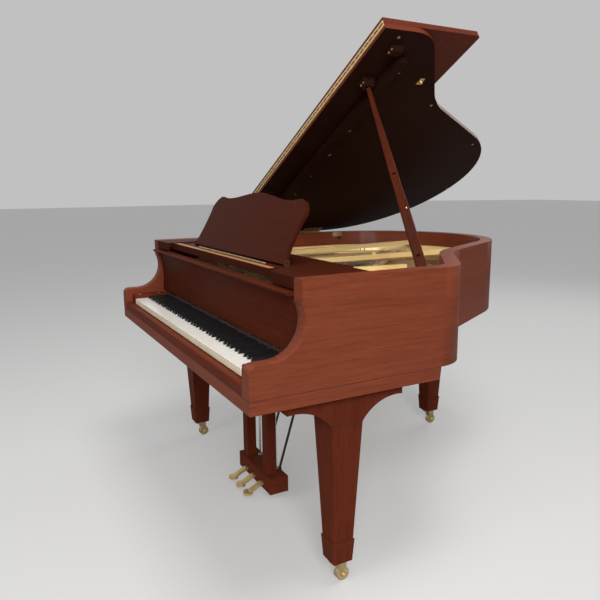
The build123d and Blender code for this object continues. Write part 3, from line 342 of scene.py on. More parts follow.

# each solid gets the finish of the piece that it is; the darkened mahogany copies carry painted
# shade
nodeFinishes = {
    "rim": rimWood,
    "inner_rim": plainWood,
    "belly_rail": plainWood,
    "case_braces": plainWood,
    "keybed": rimWood,
    "key_slip": bedWoodPaintedShade,
    "key_blocks": bedWoodPaintedShade,
    "fallboard": deskWoodPaintedShade,
    "shelf_wings": shelfWoodPaintedShade,
    "music_tray": shelfWoodPaintedShade,
    "music_desk": shelfWoodPaintedShade,
    "desk_strut": deskWoodPaintedShade,
    "desk_hinges": darkBronze,
    "lid": lidWoodPaintedShade,
    "lid_flap": flapWoodPaintedShade,
    "lid_hinge_case": lidBrass,
    "lid_hinge_lid": lidBrass,
    "flap_hinge_lid": hingeBrass,
    "flap_hinge_flap": hingeBrass,
    "lid_prop": propWoodPaintedShade,
    "short_prop": propWoodPaintedShade,
    "prop_hinge": brass,
    "prop_cups": underWoodPaintedShade,
    "plate": plateGold,
    "pin_block": plainWood,
    "soundboard": boardWood,
    "soundboard_ribs": boardWood,
    "bridges": plainWood,
    "bass_strings": copper,
    "plain_strings": steel,
    "dampers": damperBlack,
    "key_frame": plainWood,
    "action_rails": castRail,
    "white_keys_a": keyWhite,
    "white_keys_b": keyWhite,
    "black_keys": keyBlack,
    "lyre": legWoodPaintedShade,
    "pedal_box": bedWoodPaintedShade,
    "lyre_stays": blackIronAndSlotShade,
}
for group in ("a", "b", "c"):
    nodeFinishes["hammers_" + group] = plainWood
    nodeFinishes["wippens_" + group] = plainWood
for corner in ("bass", "treble", "tail"):
    nodeFinishes[corner + "_leg"] = legWoodPaintedShade
    nodeFinishes[corner + "_caster_fork"] = agedBrass
    nodeFinishes[corner + "_caster_wheel"] = agedBrass
for foot in ("left", "middle", "right"):
    nodeFinishes[foot + "_pedal"] = brass
    nodeFinishes[foot + "_pedal_rod"] = steel
for name, node in nodes.items():
    node.data.materials.clear()
    node.data.materials.append(nodeFinishes[name])

# sizes are in millimetres, with y measured back from the white key fronts
milli = 0.001
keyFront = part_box("white_keys_a")[0][1]
caseFrame = Matrix.Translation((0, keyFront, 0)) @ Matrix.Scale(milli, 4)
toCase = caseFrame.inverted()


def corners(name):
    return [toCase @ Vector(corner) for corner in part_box(name)]


# a solid of two materials: faces behind or ahead of a limit, or facing down, get the second; the
# lid's down-facing faces get the dark underside as painted shade
splitFaces = {
    "white_keys_a": {"finish": plainWood, "behind": 150.5},
    "white_keys_b": {"finish": plainWood, "behind": 150.5},
    "black_keys": {"finish": plainWood, "behind": 147.0},
    "hammers_a": {"finish": whiteFelt, "behind": 339.0},
    "hammers_b": {"finish": whiteFelt, "behind": 339.0},
    "hammers_c": {"finish": whiteFelt, "behind": 339.0},
    "lid": {"finish": underWoodPaintedShade, "facing": -0.8},
}


def paintPart(name, split):
    node = nodes[name]
    node.data.materials.append(split["finish"])
    for face in node.data.polygons:
        at = (toCase @ (node.matrix_world @ face.center)).y
        isPart = at > split.get("behind", math.inf) or at < split.get("ahead", -math.inf)
        if isPart or face.normal.z < split.get("facing", -math.inf):
            face.material_index = 1


for name, split in splitFaces.items():
    paintPart(name, split)

softEdges = {
    "lid_flap": 3.2,
    "music_desk rim": 2.2,
    "keybed key_slip key_blocks shelf_wings music_tray fallboard lid_prop": 1.4,
    "bass_leg treble_leg tail_leg lyre pedal_box desk_strut": 1.6,
    "prop_cups": 4.0,
    "plate": 1.2,
}
edgeRound = {
    "angle": math.radians(35),
    "segments": 2,
    "weld": 0.00005,
    "sharp": math.radians(40),
}


def roundEdges(made, width):
    bevel = made.modifiers.new("softEdges", "BEVEL")
    bevel.width = width * milli
    bevel.segments = edgeRound["segments"]
    bevel.limit_method = "ANGLE"
    bevel.angle_limit = edgeRound["angle"]
    bevel.harden_normals = True


for names, width in softEdges.items():
    for name in names.split():
        nodes[name].modifiers.new("joinedFaces", "WELD").merge_threshold = edgeRound["weld"]
        roundEdges(nodes[name], width)
print("solids finished")


# a mesh piece, built in millimetres in its own frame
class Piece:
    def __init__(self, place=caseFrame):
        self.mesh = bmesh.new()
        self.place = place

    def block(self, low, high):
        a = Vector(low)
        b = Vector(high)
        shape = Matrix.Translation((a + b) / 2) @ Matrix.Diagonal((*(b - a), 1.0))
        bmesh.ops.create_cube(self.mesh, size=1.0, matrix=shape)

    def slab(self, outline, low, high):
        bottom = [self.mesh.verts.new((x, at, low)) for x, at in outline]
        top = [self.mesh.verts.new((x, at, high)) for x, at in outline]
        self.mesh.faces.new(bottom)
        self.mesh.faces.new(top)
        for index in range(len(outline)):
            self.mesh.faces.new((bottom[index - 1], bottom[index], top[index], top[index - 1]))

    def turned(self, base, way, profile, sides=16, hollow=False):
        way = Vector(way).normalized()
        across = way.orthogonal().normalized()
        other = way.cross(across)
        rings = []
        for along, radius in profile:
            centre = Vector(base) + way * along
            ring = []
            for index in range(sides if radius else 1):
                turn = math.tau * index / sides
                out = across * math.cos(turn) + other * math.sin(turn)
                ring.append(self.mesh.verts.new(centre + out * radius))
            rings.append(ring)
        pairs = list(zip(rings, rings[1:]))
        if hollow:
            pairs.append((rings[-1], rings[0]))
        for low, high in pairs:
            for index in range(sides):
                after = index + 1
                loop = [
                    low[index % len(low)],
                    low[after % len(low)],
                    high[after % len(high)],
                    high[index % len(high)],
                ]
                loop = list(dict.fromkeys(loop))
                if len(loop) > 2:
                    self.mesh.faces.new(loop)
        for ring in (rings[0], rings[-1]):
            if len(ring) > 2 and not hollow:
                self.mesh.faces.new(ring)

    def done(self, name, finish, body, bevelWidth=0.0):
        bmesh.ops.transform(self.mesh, matrix=self.place, verts=self.mesh.verts)
        bmesh.ops.recalc_face_normals(self.mesh, faces=self.mesh.faces)
        data = bpy.data.meshes.new(name)
        self.mesh.to_mesh(data)
        self.mesh.free()
        made = bpy.data.objects.new(name, data)
        scene.collection.objects.link(made)
        data.materials.append(finish)
        for face in data.polygons:
            face.use_smooth = True
        data.set_sharp_from_angle(angle=edgeRound["sharp"])
        if bevelWidth:
            roundEdges(made, bevelWidth)
        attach(made, body)
        return made


# profiles of a screw head and of a button: how far out, and how wide there
screwShape = {"sink": 0.4, "wall": 0.4, "shoulder": 1.0, "inset": 0.75, "crown": 1.2}
buttonShape = {"sink": 0.3, "wall": 0.6, "shoulder": 0.92, "inset": 0.8}


def screwHead(radius):
    return [
        (-screwShape["sink"], radius),
        (screwShape["wall"], radius),
        (screwShape["shoulder"], radius * screwShape["inset"]),
        (screwShape["crown"], 0.0),
    ]


def button(radius, height):
    return [
        (-buttonShape["sink"], radius),
        (height * buttonShape["wall"], radius),
        (height * buttonShape["shoulder"], radius * buttonShape["inset"]),
        (height, 0.0),
    ]


up = (0, 0, 1)
down = (0, 0, -1)
forward = (0, -1, 0)

# white key fronts and the lips of the key tops
keyboard = {
    "whites": 52,
    "half": 611.0,
    "top": 728.0,
    "bottom": 705.4,
    "gap": 0.45,
    "facing": 0.8,
    "sink": 0.2,
    "lipOut": 1.5,
    "lipDeep": 3.0,
    "lipThick": 2.4,
    "lipProud": 0.1,
    "lipRound": 0.5,
}
keyPitch = 2 * keyboard["half"] / keyboard["whites"]
lipLow = keyboard["top"] - keyboard["lipThick"]
for group, first in (("a", 0), ("b", 1)):
    fronts = Piece()
    lips = Piece()
    for index in range(first, keyboard["whites"], 2):
        left = -keyboard["half"] + index * keyPitch + keyboard["gap"]
        right = left + keyPitch - 2 * keyboard["gap"]
        fronts.block(
            (left, -keyboard["facing"], keyboard["bottom"]),
            (right, keyboard["sink"], lipLow),
        )
        lips.block(
            (left, -keyboard["lipOut"], lipLow),
            (right, keyboard["lipDeep"], keyboard["top"] + keyboard["lipProud"]),
        )
    fronts.done("keyFronts_" + group, keyCream, "white_keys_" + group)
    lips.done(
        "keyLips_" + group, keyWhite, "white_keys_" + group, keyboard["lipRound"]
    )

# dark felt strip behind the keys
keyFelt = {"half": 640.0, "front": 150.1, "back": 156.0, "low": 730.0, "high": 741.5, "round": 1.5}
felt = Piece()
felt.block(
    (-keyFelt["half"], keyFelt["front"], keyFelt["low"]),
    (keyFelt["half"], keyFelt["back"], keyFelt["high"]),
)
felt.done("keyFelt", wineFeltAndShadowSeams, "case", keyFelt["round"])

# the seam round the top of the keybed: a dark band of painted shadow in the joint
bedShadowSeam = {"proud": 0.15, "deep": 3.0, "low": 670.2, "high": 671.8}
bedSide = corners("keybed")[1]
bedFront = corners("keybed")[0].y
outside = bedSide.x + bedShadowSeam["proud"]
inside = outside - bedShadowSeam["deep"]
seam = Piece()
seam.block(
    (-outside, bedFront - bedShadowSeam["proud"], bedShadowSeam["low"]),
    (outside, bedFront - bedShadowSeam["proud"] + bedShadowSeam["deep"], bedShadowSeam["high"]),
)
for side in (-1, 1):
    edges = sorted((side * inside, side * outside))
    seam.block(
        (edges[0], bedFront + bedShadowSeam["deep"], bedShadowSeam["low"]),
        (edges[1], bedSide.y, bedShadowSeam["high"]),
    )
seam.done("bedShadowSeam", wineFeltAndShadowSeams, "case")

# a bead behind the key slip
slipBead = {"half": 683.0, "front": -6.2, "back": -2.3, "low": 688.0, "high": 704.8, "round": 1.0}
bead = Piece()
bead.block(
    (-slipBead["half"], slipBead["front"], slipBead["low"]),
    (slipBead["half"], slipBead["back"], slipBead["high"]),
)
bead.done("slipBead", bedWoodPaintedShade, "case", slipBead["round"])

# seams under the brackets of the front legs: a small step, dark as painted shadow
legShadowSeam = {"half": 53.0, "proud": 0.2, "sink": 1.0, "height": 537.0, "thick": 1.8}
legShadowSeams = Piece()
for corner in ("bass", "treble"):
    low, high = corners(corner + "_leg")
    middle = (low + high) / 2
    for side in (-1, 1):
        face = middle.x + side * legShadowSeam["half"]
        edges = sorted((face - side * legShadowSeam["sink"], face + side * legShadowSeam["proud"]))
        legShadowSeams.block(
            (edges[0], middle.y - legShadowSeam["half"], legShadowSeam["height"]),
            (edges[1], middle.y + legShadowSeam["half"], legShadowSeam["height"] + legShadowSeam["thick"]),
        )
legShadowSeams.done("legShadowSeams", wineFeltAndShadowSeams, "case")

# screws of the key blocks
blockScrews = {"x": 650.0, "places": (28.0, 118.0), "radius": 6.0}
blockTop = corners("key_blocks")[1].z
screws = Piece()
for side in (-1, 1):
    for place in blockScrews["places"]:
        base = (side * blockScrews["x"], place, blockTop)
        screws.turned(base, up, screwHead(blockScrews["radius"]))
screws.done("blockScrews", brass, "case")

# pale strip on the ledge of the music tray, and the brass stop at the foot of the desk
ledge = {"half": 469.4, "front": 155.3, "back": 175.0, "sink": 0.8, "rise": 1.0, "round": 0.7}
ledgeTop = corners("music_tray")[1].z
strip = Piece()
strip.block(
    (-ledge["half"], ledge["front"], ledgeTop - ledge["sink"]),
    (ledge["half"], ledge["back"], ledgeTop + ledge["rise"]),
)
strip.done("ledgeStrip", ledgeWood, "music_tray", ledge["round"])

deskStop = {
    "half": 330.0,
    "at": 213.0,
    "radius": 1.7,
    "rise": 2.4,
    "step": 60.0,
    "gap": 2.0,
    "taper": 0.8,
    "endShare": 0.7,
    "sides": 10,
    "leaf": 11.0,
    "leafSink": 0.2,
    "leafRise": 1.0,
}
trayTop = corners("desk_hinges")[0].z
stopHeight = trayTop + deskStop["rise"]
stop = Piece()
start = -deskStop["half"]
while start < deskStop["half"]:
    length = deskStop["step"] - deskStop["gap"]
    radius = deskStop["radius"]
    endRadius = radius * deskStop["endShare"]
    taper = deskStop["taper"]
    barrel = [(0, endRadius), (taper, radius), (length - taper, radius), (length, endRadius)]
    stop.turned((start, deskStop["at"], stopHeight), (1, 0, 0), barrel, deskStop["sides"])
    start += deskStop["step"]
stop.block(
    (-deskStop["half"], deskStop["at"] - deskStop["leaf"], trayTop - deskStop["leafSink"]),
    (deskStop["half"], deskStop["at"], trayTop + deskStop["leafRise"]),
)
stop.done("deskStop", agedBrass, "music_tray")
print("keyboard and desk pieces made")

# the open lid: x up along it from the hinge pin, z out of its top
joints = {joint["name"]: joint for joint in frame["record"]["behaviour"]["joints"]}
lidSet = {"angle": 27.8, "under": 2.0, "edgeAt": 503.5, "leaf": 1.8}
pin = joints["lid_hinge"]["pos_m"]
lidTurn = math.radians(lidSet["angle"])
lidAlong = Vector((math.cos(lidTurn), 0, math.sin(lidTurn)))
lidUp = Vector((-math.sin(lidTurn), 0, math.cos(lidTurn)))
lidAxes = Matrix((lidAlong, (0, 1, 0), lidUp)).transposed().to_4x4()
lidFrame = Matrix.Translation((pin[0], keyFront, pin[2])) @ lidAxes @ Matrix.Scale(milli, 4)
under = lidSet["under"]

# the barrel of the flap hinge: knuckles darkened as painted shade, with bands of painted glint at
# the joints between them
knuckles = {
    "pitch": 0.028,
    "bright": (0.70, 0.78),
    "ahead": 500.6,
    "dark": (0.075, 0.042, 0.022, 1.0),
    "light": (0.62, 0.42, 0.19, 1.0),
    "metallic": 0.3,
    "roughness": 0.45,
}


def knuckleGlintFinish(look):
    shader = Shader("knuckleGlintsAndShade")
    inputs = {0: shader.coords(), 1: lidAlong}
    along = shader.node("ShaderNodeVectorMath", {"operation": "DOT_PRODUCT"}, inputs, "Value")
    turns = along * (1 / look["pitch"])
    share = shader.node("ShaderNodeMath", {"operation": "FRACT"}, {0: turns})
    bright = shader.above(share, *look["bright"])
    return shader.dress(
        Base_Color=shader.mix(bright, look["dark"], look["light"]),
        Metallic=look["metallic"],
        Roughness=look["roughness"],
    )


knuckleGlintsAndShade = knuckleGlintFinish(knuckles)
for name in ("flap_hinge_lid", "flap_hinge_flap"):
    paintPart(name, {"finish": knuckleGlintsAndShade, "ahead": knuckles["ahead"]})

# rubber buttons under the lid
lidButtons = {
    "places": (
        (1454, 571), (1299, 676), (1142, 937), (892, 1364), (473, 1554),
        (954, 683), (779, 687), (605, 687), (437, 686),
    ),
    "radius": 7.0,
    "height": 2.4,
    "screw": 3.6,
}
buttons = Piece(lidFrame)
screws = Piece(lidFrame)
for along, at in lidButtons["places"]:
    buttons.turned((along, at, under), down, button(lidButtons["radius"], lidButtons["height"]))
    screws.turned((along, at, under - lidButtons["height"]), down, screwHead(lidButtons["screw"]))
buttons.done("lidButtons", blackRubber, "lid")
screws.done("buttonScrews", brass, "lid")

# the lock under the lid: plate, boss and screws
lidLock = {
    "along": 1267.0,
    "at": 794.0,
    "half": (16.0, 9.0),
    "plate": 1.6,
    "sink": 0.2,
    "boss": 7.0,
    "drop": 8.0,
    "screwOut": 12.0,
    "screw": 3.0,
    "round": 0.4,
}
lock = Piece(lidFrame)
lockAlong = lidLock["along"]
lockAt = lidLock["at"]
halfAlong, halfAcross = lidLock["half"]
plateFace = under - lidLock["plate"]
lock.block(
    (lockAlong - halfAlong, lockAt - halfAcross, plateFace),
    (lockAlong + halfAlong, lockAt + halfAcross, under + lidLock["sink"]),
)
lock.turned((lockAlong, lockAt, plateFace), down, button(lidLock["boss"], lidLock["drop"]))
for side in (-1, 1):
    screwAlong = lockAlong + side * lidLock["screwOut"]
    lock.turned((screwAlong, lockAt, plateFace), down, screwHead(lidLock["screw"]))
lock.done("lidLock", brass, "lid", lidLock["round"])

# screws in the cups
cupScrews = {
    "cups": ((1245.6, 560.0, -12.6), (1405.0, 569.5, -8.0)),
    "spread": 8.0,
    "radius": 4.0,
}
screws = Piece(lidFrame)
for along, at, height in cupScrews["cups"]:
    for side in (-1, 1):
        place = (along + side * cupScrews["spread"], at, height)
        screws.turned(place, forward, screwHead(cupScrews["radius"]))
screws.done("cupScrews", brass, "lid")

# screws of the two butt hinges, and a black pull at the front of each pin
buttHinges = {
    "places": (640.0, 980.0),
    "screwsAlong": (16.0, 34.0),
    "screwsAt": (-42.0, -14.0, 14.0, 42.0),
    "radius": 4.2,
    "seat": 0.2,
    "halfLength": 55.0,
    "pull": [(-1, 1.6), (5, 1.6), (6, 5.0), (10, 6.2), (14, 4.6), (15.5, 0)],
}
rimTop = corners("rim")[1].z
caseScrews = Piece()
lidScrews = Piece(lidFrame)
pulls = Piece()
pinX = pin[0] / milli
caseLeaf = rimTop + lidSet["leaf"] + buttHinges["seat"]
head = screwHead(buttHinges["radius"])
for place in buttHinges["places"]:
    for shift in buttHinges["screwsAt"]:
        for along in buttHinges["screwsAlong"]:
            caseScrews.turned((pinX + along, place + shift, caseLeaf), up, head)
            lidScrews.turned((along, place + shift, under - lidSet["leaf"]), down, head)
    pinEnd = (pinX, place - buttHinges["halfLength"], pin[2] / milli)
    pulls.turned(pinEnd, forward, buttHinges["pull"])
caseScrews.done("hingeScrewsCase", agedBrass, "case")
lidScrews.done("hingeScrewsLid", agedBrass, "lid")
pulls.done("hingePulls", blackIronAndSlotShade, "case")

# screws in the leaves of the long flap hinge
flapScrews = {
    "step": 100.0,
    "count": 14,
    "radius": 2.2,
    "sides": 10,
    "leaf": 1.5,
    "rows": {
        "flapScrewsLid": {"body": "lid", "first": 40.0, "height": 15.0},
        "flapScrewsFlap": {"body": "lid_flap", "first": 90.0, "height": 26.5},
    },
}
leafFace = lidSet["edgeAt"] - flapScrews["leaf"]
for name, row in flapScrews["rows"].items():
    screws = Piece(lidFrame)
    for index in range(flapScrews["count"]):
        along = row["first"] + index * flapScrews["step"]
        place = (along, leafFace, row["height"])
        screws.turned(place, forward, screwHead(flapScrews["radius"]), flapScrews["sides"])
    screws.done(name, agedBrass, row["body"])

# the long prop: a brass dot beside its groove
propSet = {
    "tip": (371.0, 581.0, 1538.0),
    "dot": (8.2, 224.0),
    "dotRadius": 2.6,
    "grooveTop": 348.0,
    "baseHalf": 12.5,
    "grooveHalf": 12.0,
    "tipHalf": 6.5,
}
propBase = Vector(joints["prop_hinge"]["pos_m"])
propTip = caseFrame @ Vector(propSet["tip"])
propWay = (propTip - propBase).normalized()
propAcross = -Vector(joints["prop_hinge"]["axis"]).normalized()
propSide = propWay.cross(propAcross)
propAxes = Matrix((propAcross, propSide, propWay)).transposed().to_4x4()
propFrame = Matrix.Translation(propBase) @ propAxes @ Matrix.Scale(milli, 4)
propReach = (propTip - propBase).length / milli


def propHalf(along):
    top = propSet["grooveTop"]
    if along < top:
        return propSet["baseHalf"] + (propSet["grooveHalf"] - propSet["baseHalf"]) * along / top
    share = (along - top) / (propReach - top)
    return propSet["grooveHalf"] + (propSet["tipHalf"] - propSet["grooveHalf"]) * share


dot = Piece(propFrame)
dotX, dotAt = propSet["dot"]
dot.turned((dotX, -propHalf(dotAt), dotAt), forward, screwHead(propSet["dotRadius"]))
dot.done("propDot", brass, "lid_prop")

# cheeks that thicken the foot of the prop, and dark lines of painted shadow in the groove beside
# the short prop
propCheeks = {
    "outer": ((26, 16.8), (231, 15.2), (300, 12.8), (400, 10.0), (470, 8.5)),
    "sink": 0.4,
    "deep": 8.2,
    "round": 1.2,
    "seamX": 8.4,
    "seamSink": 1.6,
    "seam": (26.0, 214.0),
    "seamRadius": 2.4,
    "seamTaper": 1.0,
    "seamSides": 8,
}
cheekAxes = Matrix((propWay, propAcross, propSide)).transposed().to_4x4()
cheeks = Piece(Matrix.Translation(propBase) @ cheekAxes @ Matrix.Scale(milli, 4))
for side in (-1, 1):
    outer = [(along, side * out) for along, out in propCheeks["outer"]]
    inner = []
    for along, out in reversed(propCheeks["outer"]):
        inner.append((along, side * (propHalf(along) - propCheeks["sink"])))
    cheeks.slab(outer + inner, -propCheeks["deep"], propCheeks["deep"])
cheeks.done("propCheeks", propWoodPaintedShade, "lid_prop", propCheeks["round"])
seams = Piece(propFrame)
seamLow, seamHigh = propCheeks["seam"]
for side in (-1, 1):
    seamX = side * propCheeks["seamX"]
    start = Vector((seamX, propCheeks["seamSink"] - propHalf(seamLow), seamLow))
    end = Vector((seamX, propCheeks["seamSink"] - propHalf(seamHigh), seamHigh))
    length = (end - start).length
    radius = propCheeks["seamRadius"]
    taper = propCheeks["seamTaper"]
    shape = [(0, radius / 2), (taper, radius), (length - taper, radius), (length, radius / 2)]
    seams.turned(start, end - start, shape, propCheeks["seamSides"])
seams.done("propGrooveShadows", wineFeltAndShadowSeams, "lid_prop")
print("lid pieces made")

# the strings of the frame, note by note
stringSet = {
    "notes": 88,
    "bass": 26,
    "octave": 164.5,
    "octaveNotes": 12,
    "firstC": -728.5,
    "firstSlot": 9,
    "front": 296.0,
    "hitch": 60.0,
    "shortest": 180.0,
    "bassStep": 160.0,
    "plainLean": 0.22,
    "bassLean": 0.31,
    "clear": 8.0,
}
plainHeight = corners("plain_strings")[0].z
bassHeight = corners("bass_strings")[0].z
plateTop = plainHeight - stringSet["clear"]
plainRun = corners("plain_strings")[1].y - stringSet["front"] - stringSet["hitch"]
bassRun = corners("bass_strings")[1].y - stringSet["front"] - stringSet["hitch"]
bassNotes = range(stringSet["bass"])
plainNotes = range(stringSet["bass"], stringSet["notes"])


def noteX(note):
    turns, slot = divmod(note + stringSet["firstSlot"], stringSet["octaveNotes"])
    share = (slot + 0.5) / stringSet["octaveNotes"]
    return stringSet["firstC"] + (turns + share) * stringSet["octave"]


def plainEnd(note, extra=0.0):
    share = (note - stringSet["bass"]) / (stringSet["notes"] - 1 - stringSet["bass"])
    length = plainRun * (stringSet["shortest"] / plainRun) ** share + extra
    lean = stringSet["plainLean"] * (1 - share) * length
    return Vector((noteX(note) - lean, stringSet["front"] + length))


def bassEnd(note, extra=0.0):
    length = bassRun - stringSet["bassStep"] * note / stringSet["bass"] + extra
    return Vector((noteX(note) + stringSet["bassLean"] * length, stringSet["front"] + length))


# hitch bars of the plate under the string ends, with a pin at each
hitch = {
    "thick": 12.0,
    "bassRise": 6.0,
    "round": 1.5,
    "inner": 12.0,
    "outer": 24.0,
    "out": (0.66, 0.75),
    "last": 74,
    "plainEvery": 2,
    "bassEvery": 5,
    "tailCentre": (-195.0, 1121.0),
    "tailRadius": 352.0,
    "tailTurn": (22, 100, 13),
    "pin": [(-1, 2.0), (13, 2.0), (14.2, 1.4), (14.6, 0)],
    "pinSides": 8,
    "pinBehind": 1.0,
}
outward = Vector(hitch["out"]).normalized()
barNotes = range(stringSet["bass"], hitch["last"], hitch["plainEvery"])
barEnds = [plainEnd(note, stringSet["hitch"]) for note in barNotes]
innerSide = [end - outward * hitch["inner"] for end in barEnds]
outerSide = [end + outward * hitch["outer"] for end in reversed(barEnds)]
bassBarNotes = range(0, stringSet["bass"], hitch["bassEvery"])
bassEnds = [bassEnd(note, stringSet["hitch"]) for note in bassBarNotes]
bassInner = [end - Vector((stringSet["bassLean"], 1.0)) * hitch["inner"] for end in bassEnds]
tailArc = []
for degrees in range(*hitch["tailTurn"]):
    turn = math.radians(degrees)
    way = Vector((math.cos(turn), math.sin(turn)))
    tailArc.append(Vector(hitch["tailCentre"]) + way * hitch["tailRadius"])
bars = Piece()
bars.slab(innerSide + outerSide, plateTop - hitch["thick"], plateTop)
bars.slab(bassInner + tailArc, plateTop - hitch["thick"], plateTop + hitch["bassRise"])
bars.done("hitchBars", plateGold, "case", hitch["round"])

hitchPins = Piece()
pinExtra = stringSet["hitch"] + hitch["pinBehind"]
for note in plainNotes:
    end = (*plainEnd(note, pinExtra), plateTop)
    hitchPins.turned(end, up, hitch["pin"], hitch["pinSides"])
for note in bassNotes:
    end = (*bassEnd(note, pinExtra), plateTop + hitch["bassRise"])
    hitchPins.turned(end, up, hitch["pin"], hitch["pinSides"])
hitchPins.done("hitchPins", steel, "case")

# bridge pins, two at each string
bridgePin = {
    "beside": 2.2,
    "apart": 14.4,
    "radius": 1.1,
    "sink": 1.0,
    "rise": 3.0,
    "tip": 3.4,
    "sides": 6,
}
bridgePins = Piece()
pinShape = [
    (-bridgePin["sink"], bridgePin["radius"]),
    (bridgePin["rise"], bridgePin["radius"]),
    (bridgePin["tip"], 0),
]
for notes, ends, height in ((plainNotes, plainEnd, plainHeight), (bassNotes, bassEnd, bassHeight)):
    for note in notes:
        end = ends(note)
        for shift in (-bridgePin["apart"] / 2, bridgePin["apart"] / 2):
            base = (end.x + bridgePin["beside"], end.y + shift, height)
            bridgePins.turned(base, up, pinShape, bridgePin["sides"])
bridgePins.done("bridgePins", brass, "case")

# tuning pins in three rows with their coils, agraffes, and red felt under the strings
tuning = {
    "front": 203.0,
    "row": 8.0,
    "rows": 3,
    "pin": [(-1, 3.0), (15, 3.0), (16, 2.2), (24, 2.2), (24.5, 0)],
    "coil": [(0, 3.1), (0, 4.3), (5, 4.3), (5, 3.1)],
    "coilDrop": 1.5,
    "sides": 8,
    "pairOut": 3.2,
    "stud": {"rise": 3.0, "foot": (-1, 3, 4.4), "neck": (3.6, 3.2), "crown": (1, 2.0), "sides": 6},
    "felt": (242.0, 286.0),
    "feltThick": 1.4,
    "feltSink": 0.2,
    "feltBeyond": 8.0,
    "feltRound": 0.5,
}
tuningPins = Piece()
coils = Piece()
agraffes = Piece()
count = 0
pair = (-tuning["pairOut"], tuning["pairOut"])
stud = tuning["stud"]
footLow, footHigh, footRadius = stud["foot"]
neckLow, neckRadius = stud["neck"]
crownDeep, crownRadius = stud["crown"]
for notes, height, shifts in ((bassNotes, bassHeight, (0,)), (plainNotes, plainHeight, pair)):
    for note in notes:
        for shift in shifts:
            place = tuning["front"] + tuning["row"] * (count % tuning["rows"])
            base = Vector((noteX(note) + shift, place, plateTop))
            tuningPins.turned(base, up, tuning["pin"], tuning["sides"])
            coilBase = (base.x, base.y, height - tuning["coilDrop"])
            coils.turned(coilBase, up, tuning["coil"], tuning["sides"], True)
            count += 1
        studTop = height + stud["rise"] - plateTop
        shape = [
            (footLow, footRadius),
            (footHigh, footRadius),
            (neckLow, neckRadius),
            (studTop - crownDeep, neckRadius),
            (studTop, crownRadius),
            (studTop, 0),
        ]
        agraffes.turned((noteX(note), stringSet["front"], plateTop), up, shape, stud["sides"])
tuningPins.done("tuningPins", steel, "case")
coils.done("tuningCoils", copper, "case")
agraffes.done("agraffes", brass, "case")

stringFelt = Piece()
feltFront, feltBack = tuning["felt"]
feltLeft = noteX(0) - tuning["feltBeyond"]
feltRight = noteX(stringSet["notes"] - 1) + tuning["feltBeyond"]
stringFelt.block(
    (feltLeft, feltFront, plateTop - tuning["feltSink"]),
    (feltRight, feltBack, plateTop + tuning["feltThick"]),
)
stringFelt.done("stringFelt", redFelt, "case", tuning["feltRound"])

# white felt under each damper head
damperSet = {
    "notes": 66,
    "at": 412.0,
    "size": (9.6, 36.6),
    "deep": 3.4,
    "gap": 2.0,
    "round": 0.4,
}
damperFelts = Piece()
damperWide, damperLong = damperSet["size"]
for note in range(damperSet["notes"]):
    height = bassHeight if note < stringSet["bass"] else plainHeight
    x = noteX(note)
    at = damperSet["at"]
    low = height + damperSet["gap"]
    damperFelts.block(
        (x - damperWide / 2, at - damperLong / 2, low),
        (x + damperWide / 2, at + damperLong / 2, low + damperSet["deep"]),
    )
damperFelts.done("damperFelts", whiteFelt, "dampers", damperSet["round"])

# bolts that hold the plate down, and the nose bolts on its struts
plateBolts = {
    "straight": ((-655, 480), (-655, 660), (-655, 840), (-655, 1000), (655, 480), (655, 600)),
    "arcs": (((-195, 1026), 464, (165, 140, 115)), ((-195, 1121), 369, (75, 45))),
    "nose": ((-332, 853), (31, 853), (330, 515)),
    "noseHeight": 940.0,
    "washer": [(-0.3, 12), (1.2, 12), (1.8, 10.5), (1.8, 0)],
    "washerSides": 20,
    "head": [(1.5, 8.5), (7.5, 8.5), (8.6, 7.0), (8.6, 0)],
    "headSides": 6,
}
boltPlaces = [(x, at, plateTop) for x, at in plateBolts["straight"]]
for centre, radius, turns in plateBolts["arcs"]:
    for degrees in turns:
        turn = math.radians(degrees)
        x = centre[0] + radius * math.cos(turn)
        at = centre[1] + radius * math.sin(turn)
        boltPlaces.append((x, at, plateTop))
boltPlaces += [(x, at, plateBolts["noseHeight"]) for x, at in plateBolts["nose"]]
bolts = Piece()
for place in boltPlaces:
    bolts.turned(place, up, plateBolts["washer"], plateBolts["washerSides"])
    bolts.turned(place, up, plateBolts["head"], plateBolts["headSides"])
bolts.done("plateBolts", plateGold, "case")

# two slots in the raised flange of the plate, drawn as black rods of painted shade
flangeSlotShades = {
    "places": ((-624.5, 1224.7), (-615.1, 1245.5)),
    "low": 872.0,
    "length": 37.0,
    "radius": 2.6,
    "endShare": 0.6,
    "taper": 1.0,
    "sides": 10,
}
slots = Piece()
for x, at in flangeSlotShades["places"]:
    radius = flangeSlotShades["radius"]
    endRadius = radius * flangeSlotShades["endShare"]
    length = flangeSlotShades["length"]
    taper = flangeSlotShades["taper"]
    shape = [(0, endRadius), (taper, radius), (length - taper, radius), (length, endRadius)]
    slots.turned((x, at, flangeSlotShades["low"]), up, shape, flangeSlotShades["sides"])
slots.done("flangeSlotShades", blackIronAndSlotShade, "case")

# a black knob and a brass bracket on the inside of the rim
rimKnob = {
    "place": (-676.0, 1116.0, 950.0),
    "shape": [(-2, 4), (4, 4), (5, 8), (9, 9), (12, 6.5), (13, 0)],
    "sides": 20,
}
knob = Piece()
knob.turned(rimKnob["place"], (1, 0, 0), rimKnob["shape"], rimKnob["sides"])
knob.done("rimKnob", blackIronAndSlotShade, "case")
rimBracket = {
    "outline": ((-682, 1080), (-671, 1142), (-663, 1130), (-667, 1098)),
    "low": 956.0,
    "high": 979.5,
    "round": 1.0,
}
bracket = Piece()
bracket.slab(rimBracket["outline"], rimBracket["low"], rimBracket["high"])
bracket.done("rimBracket", lidBrass, "case", rimBracket["round"])
print("strung back pieces made")

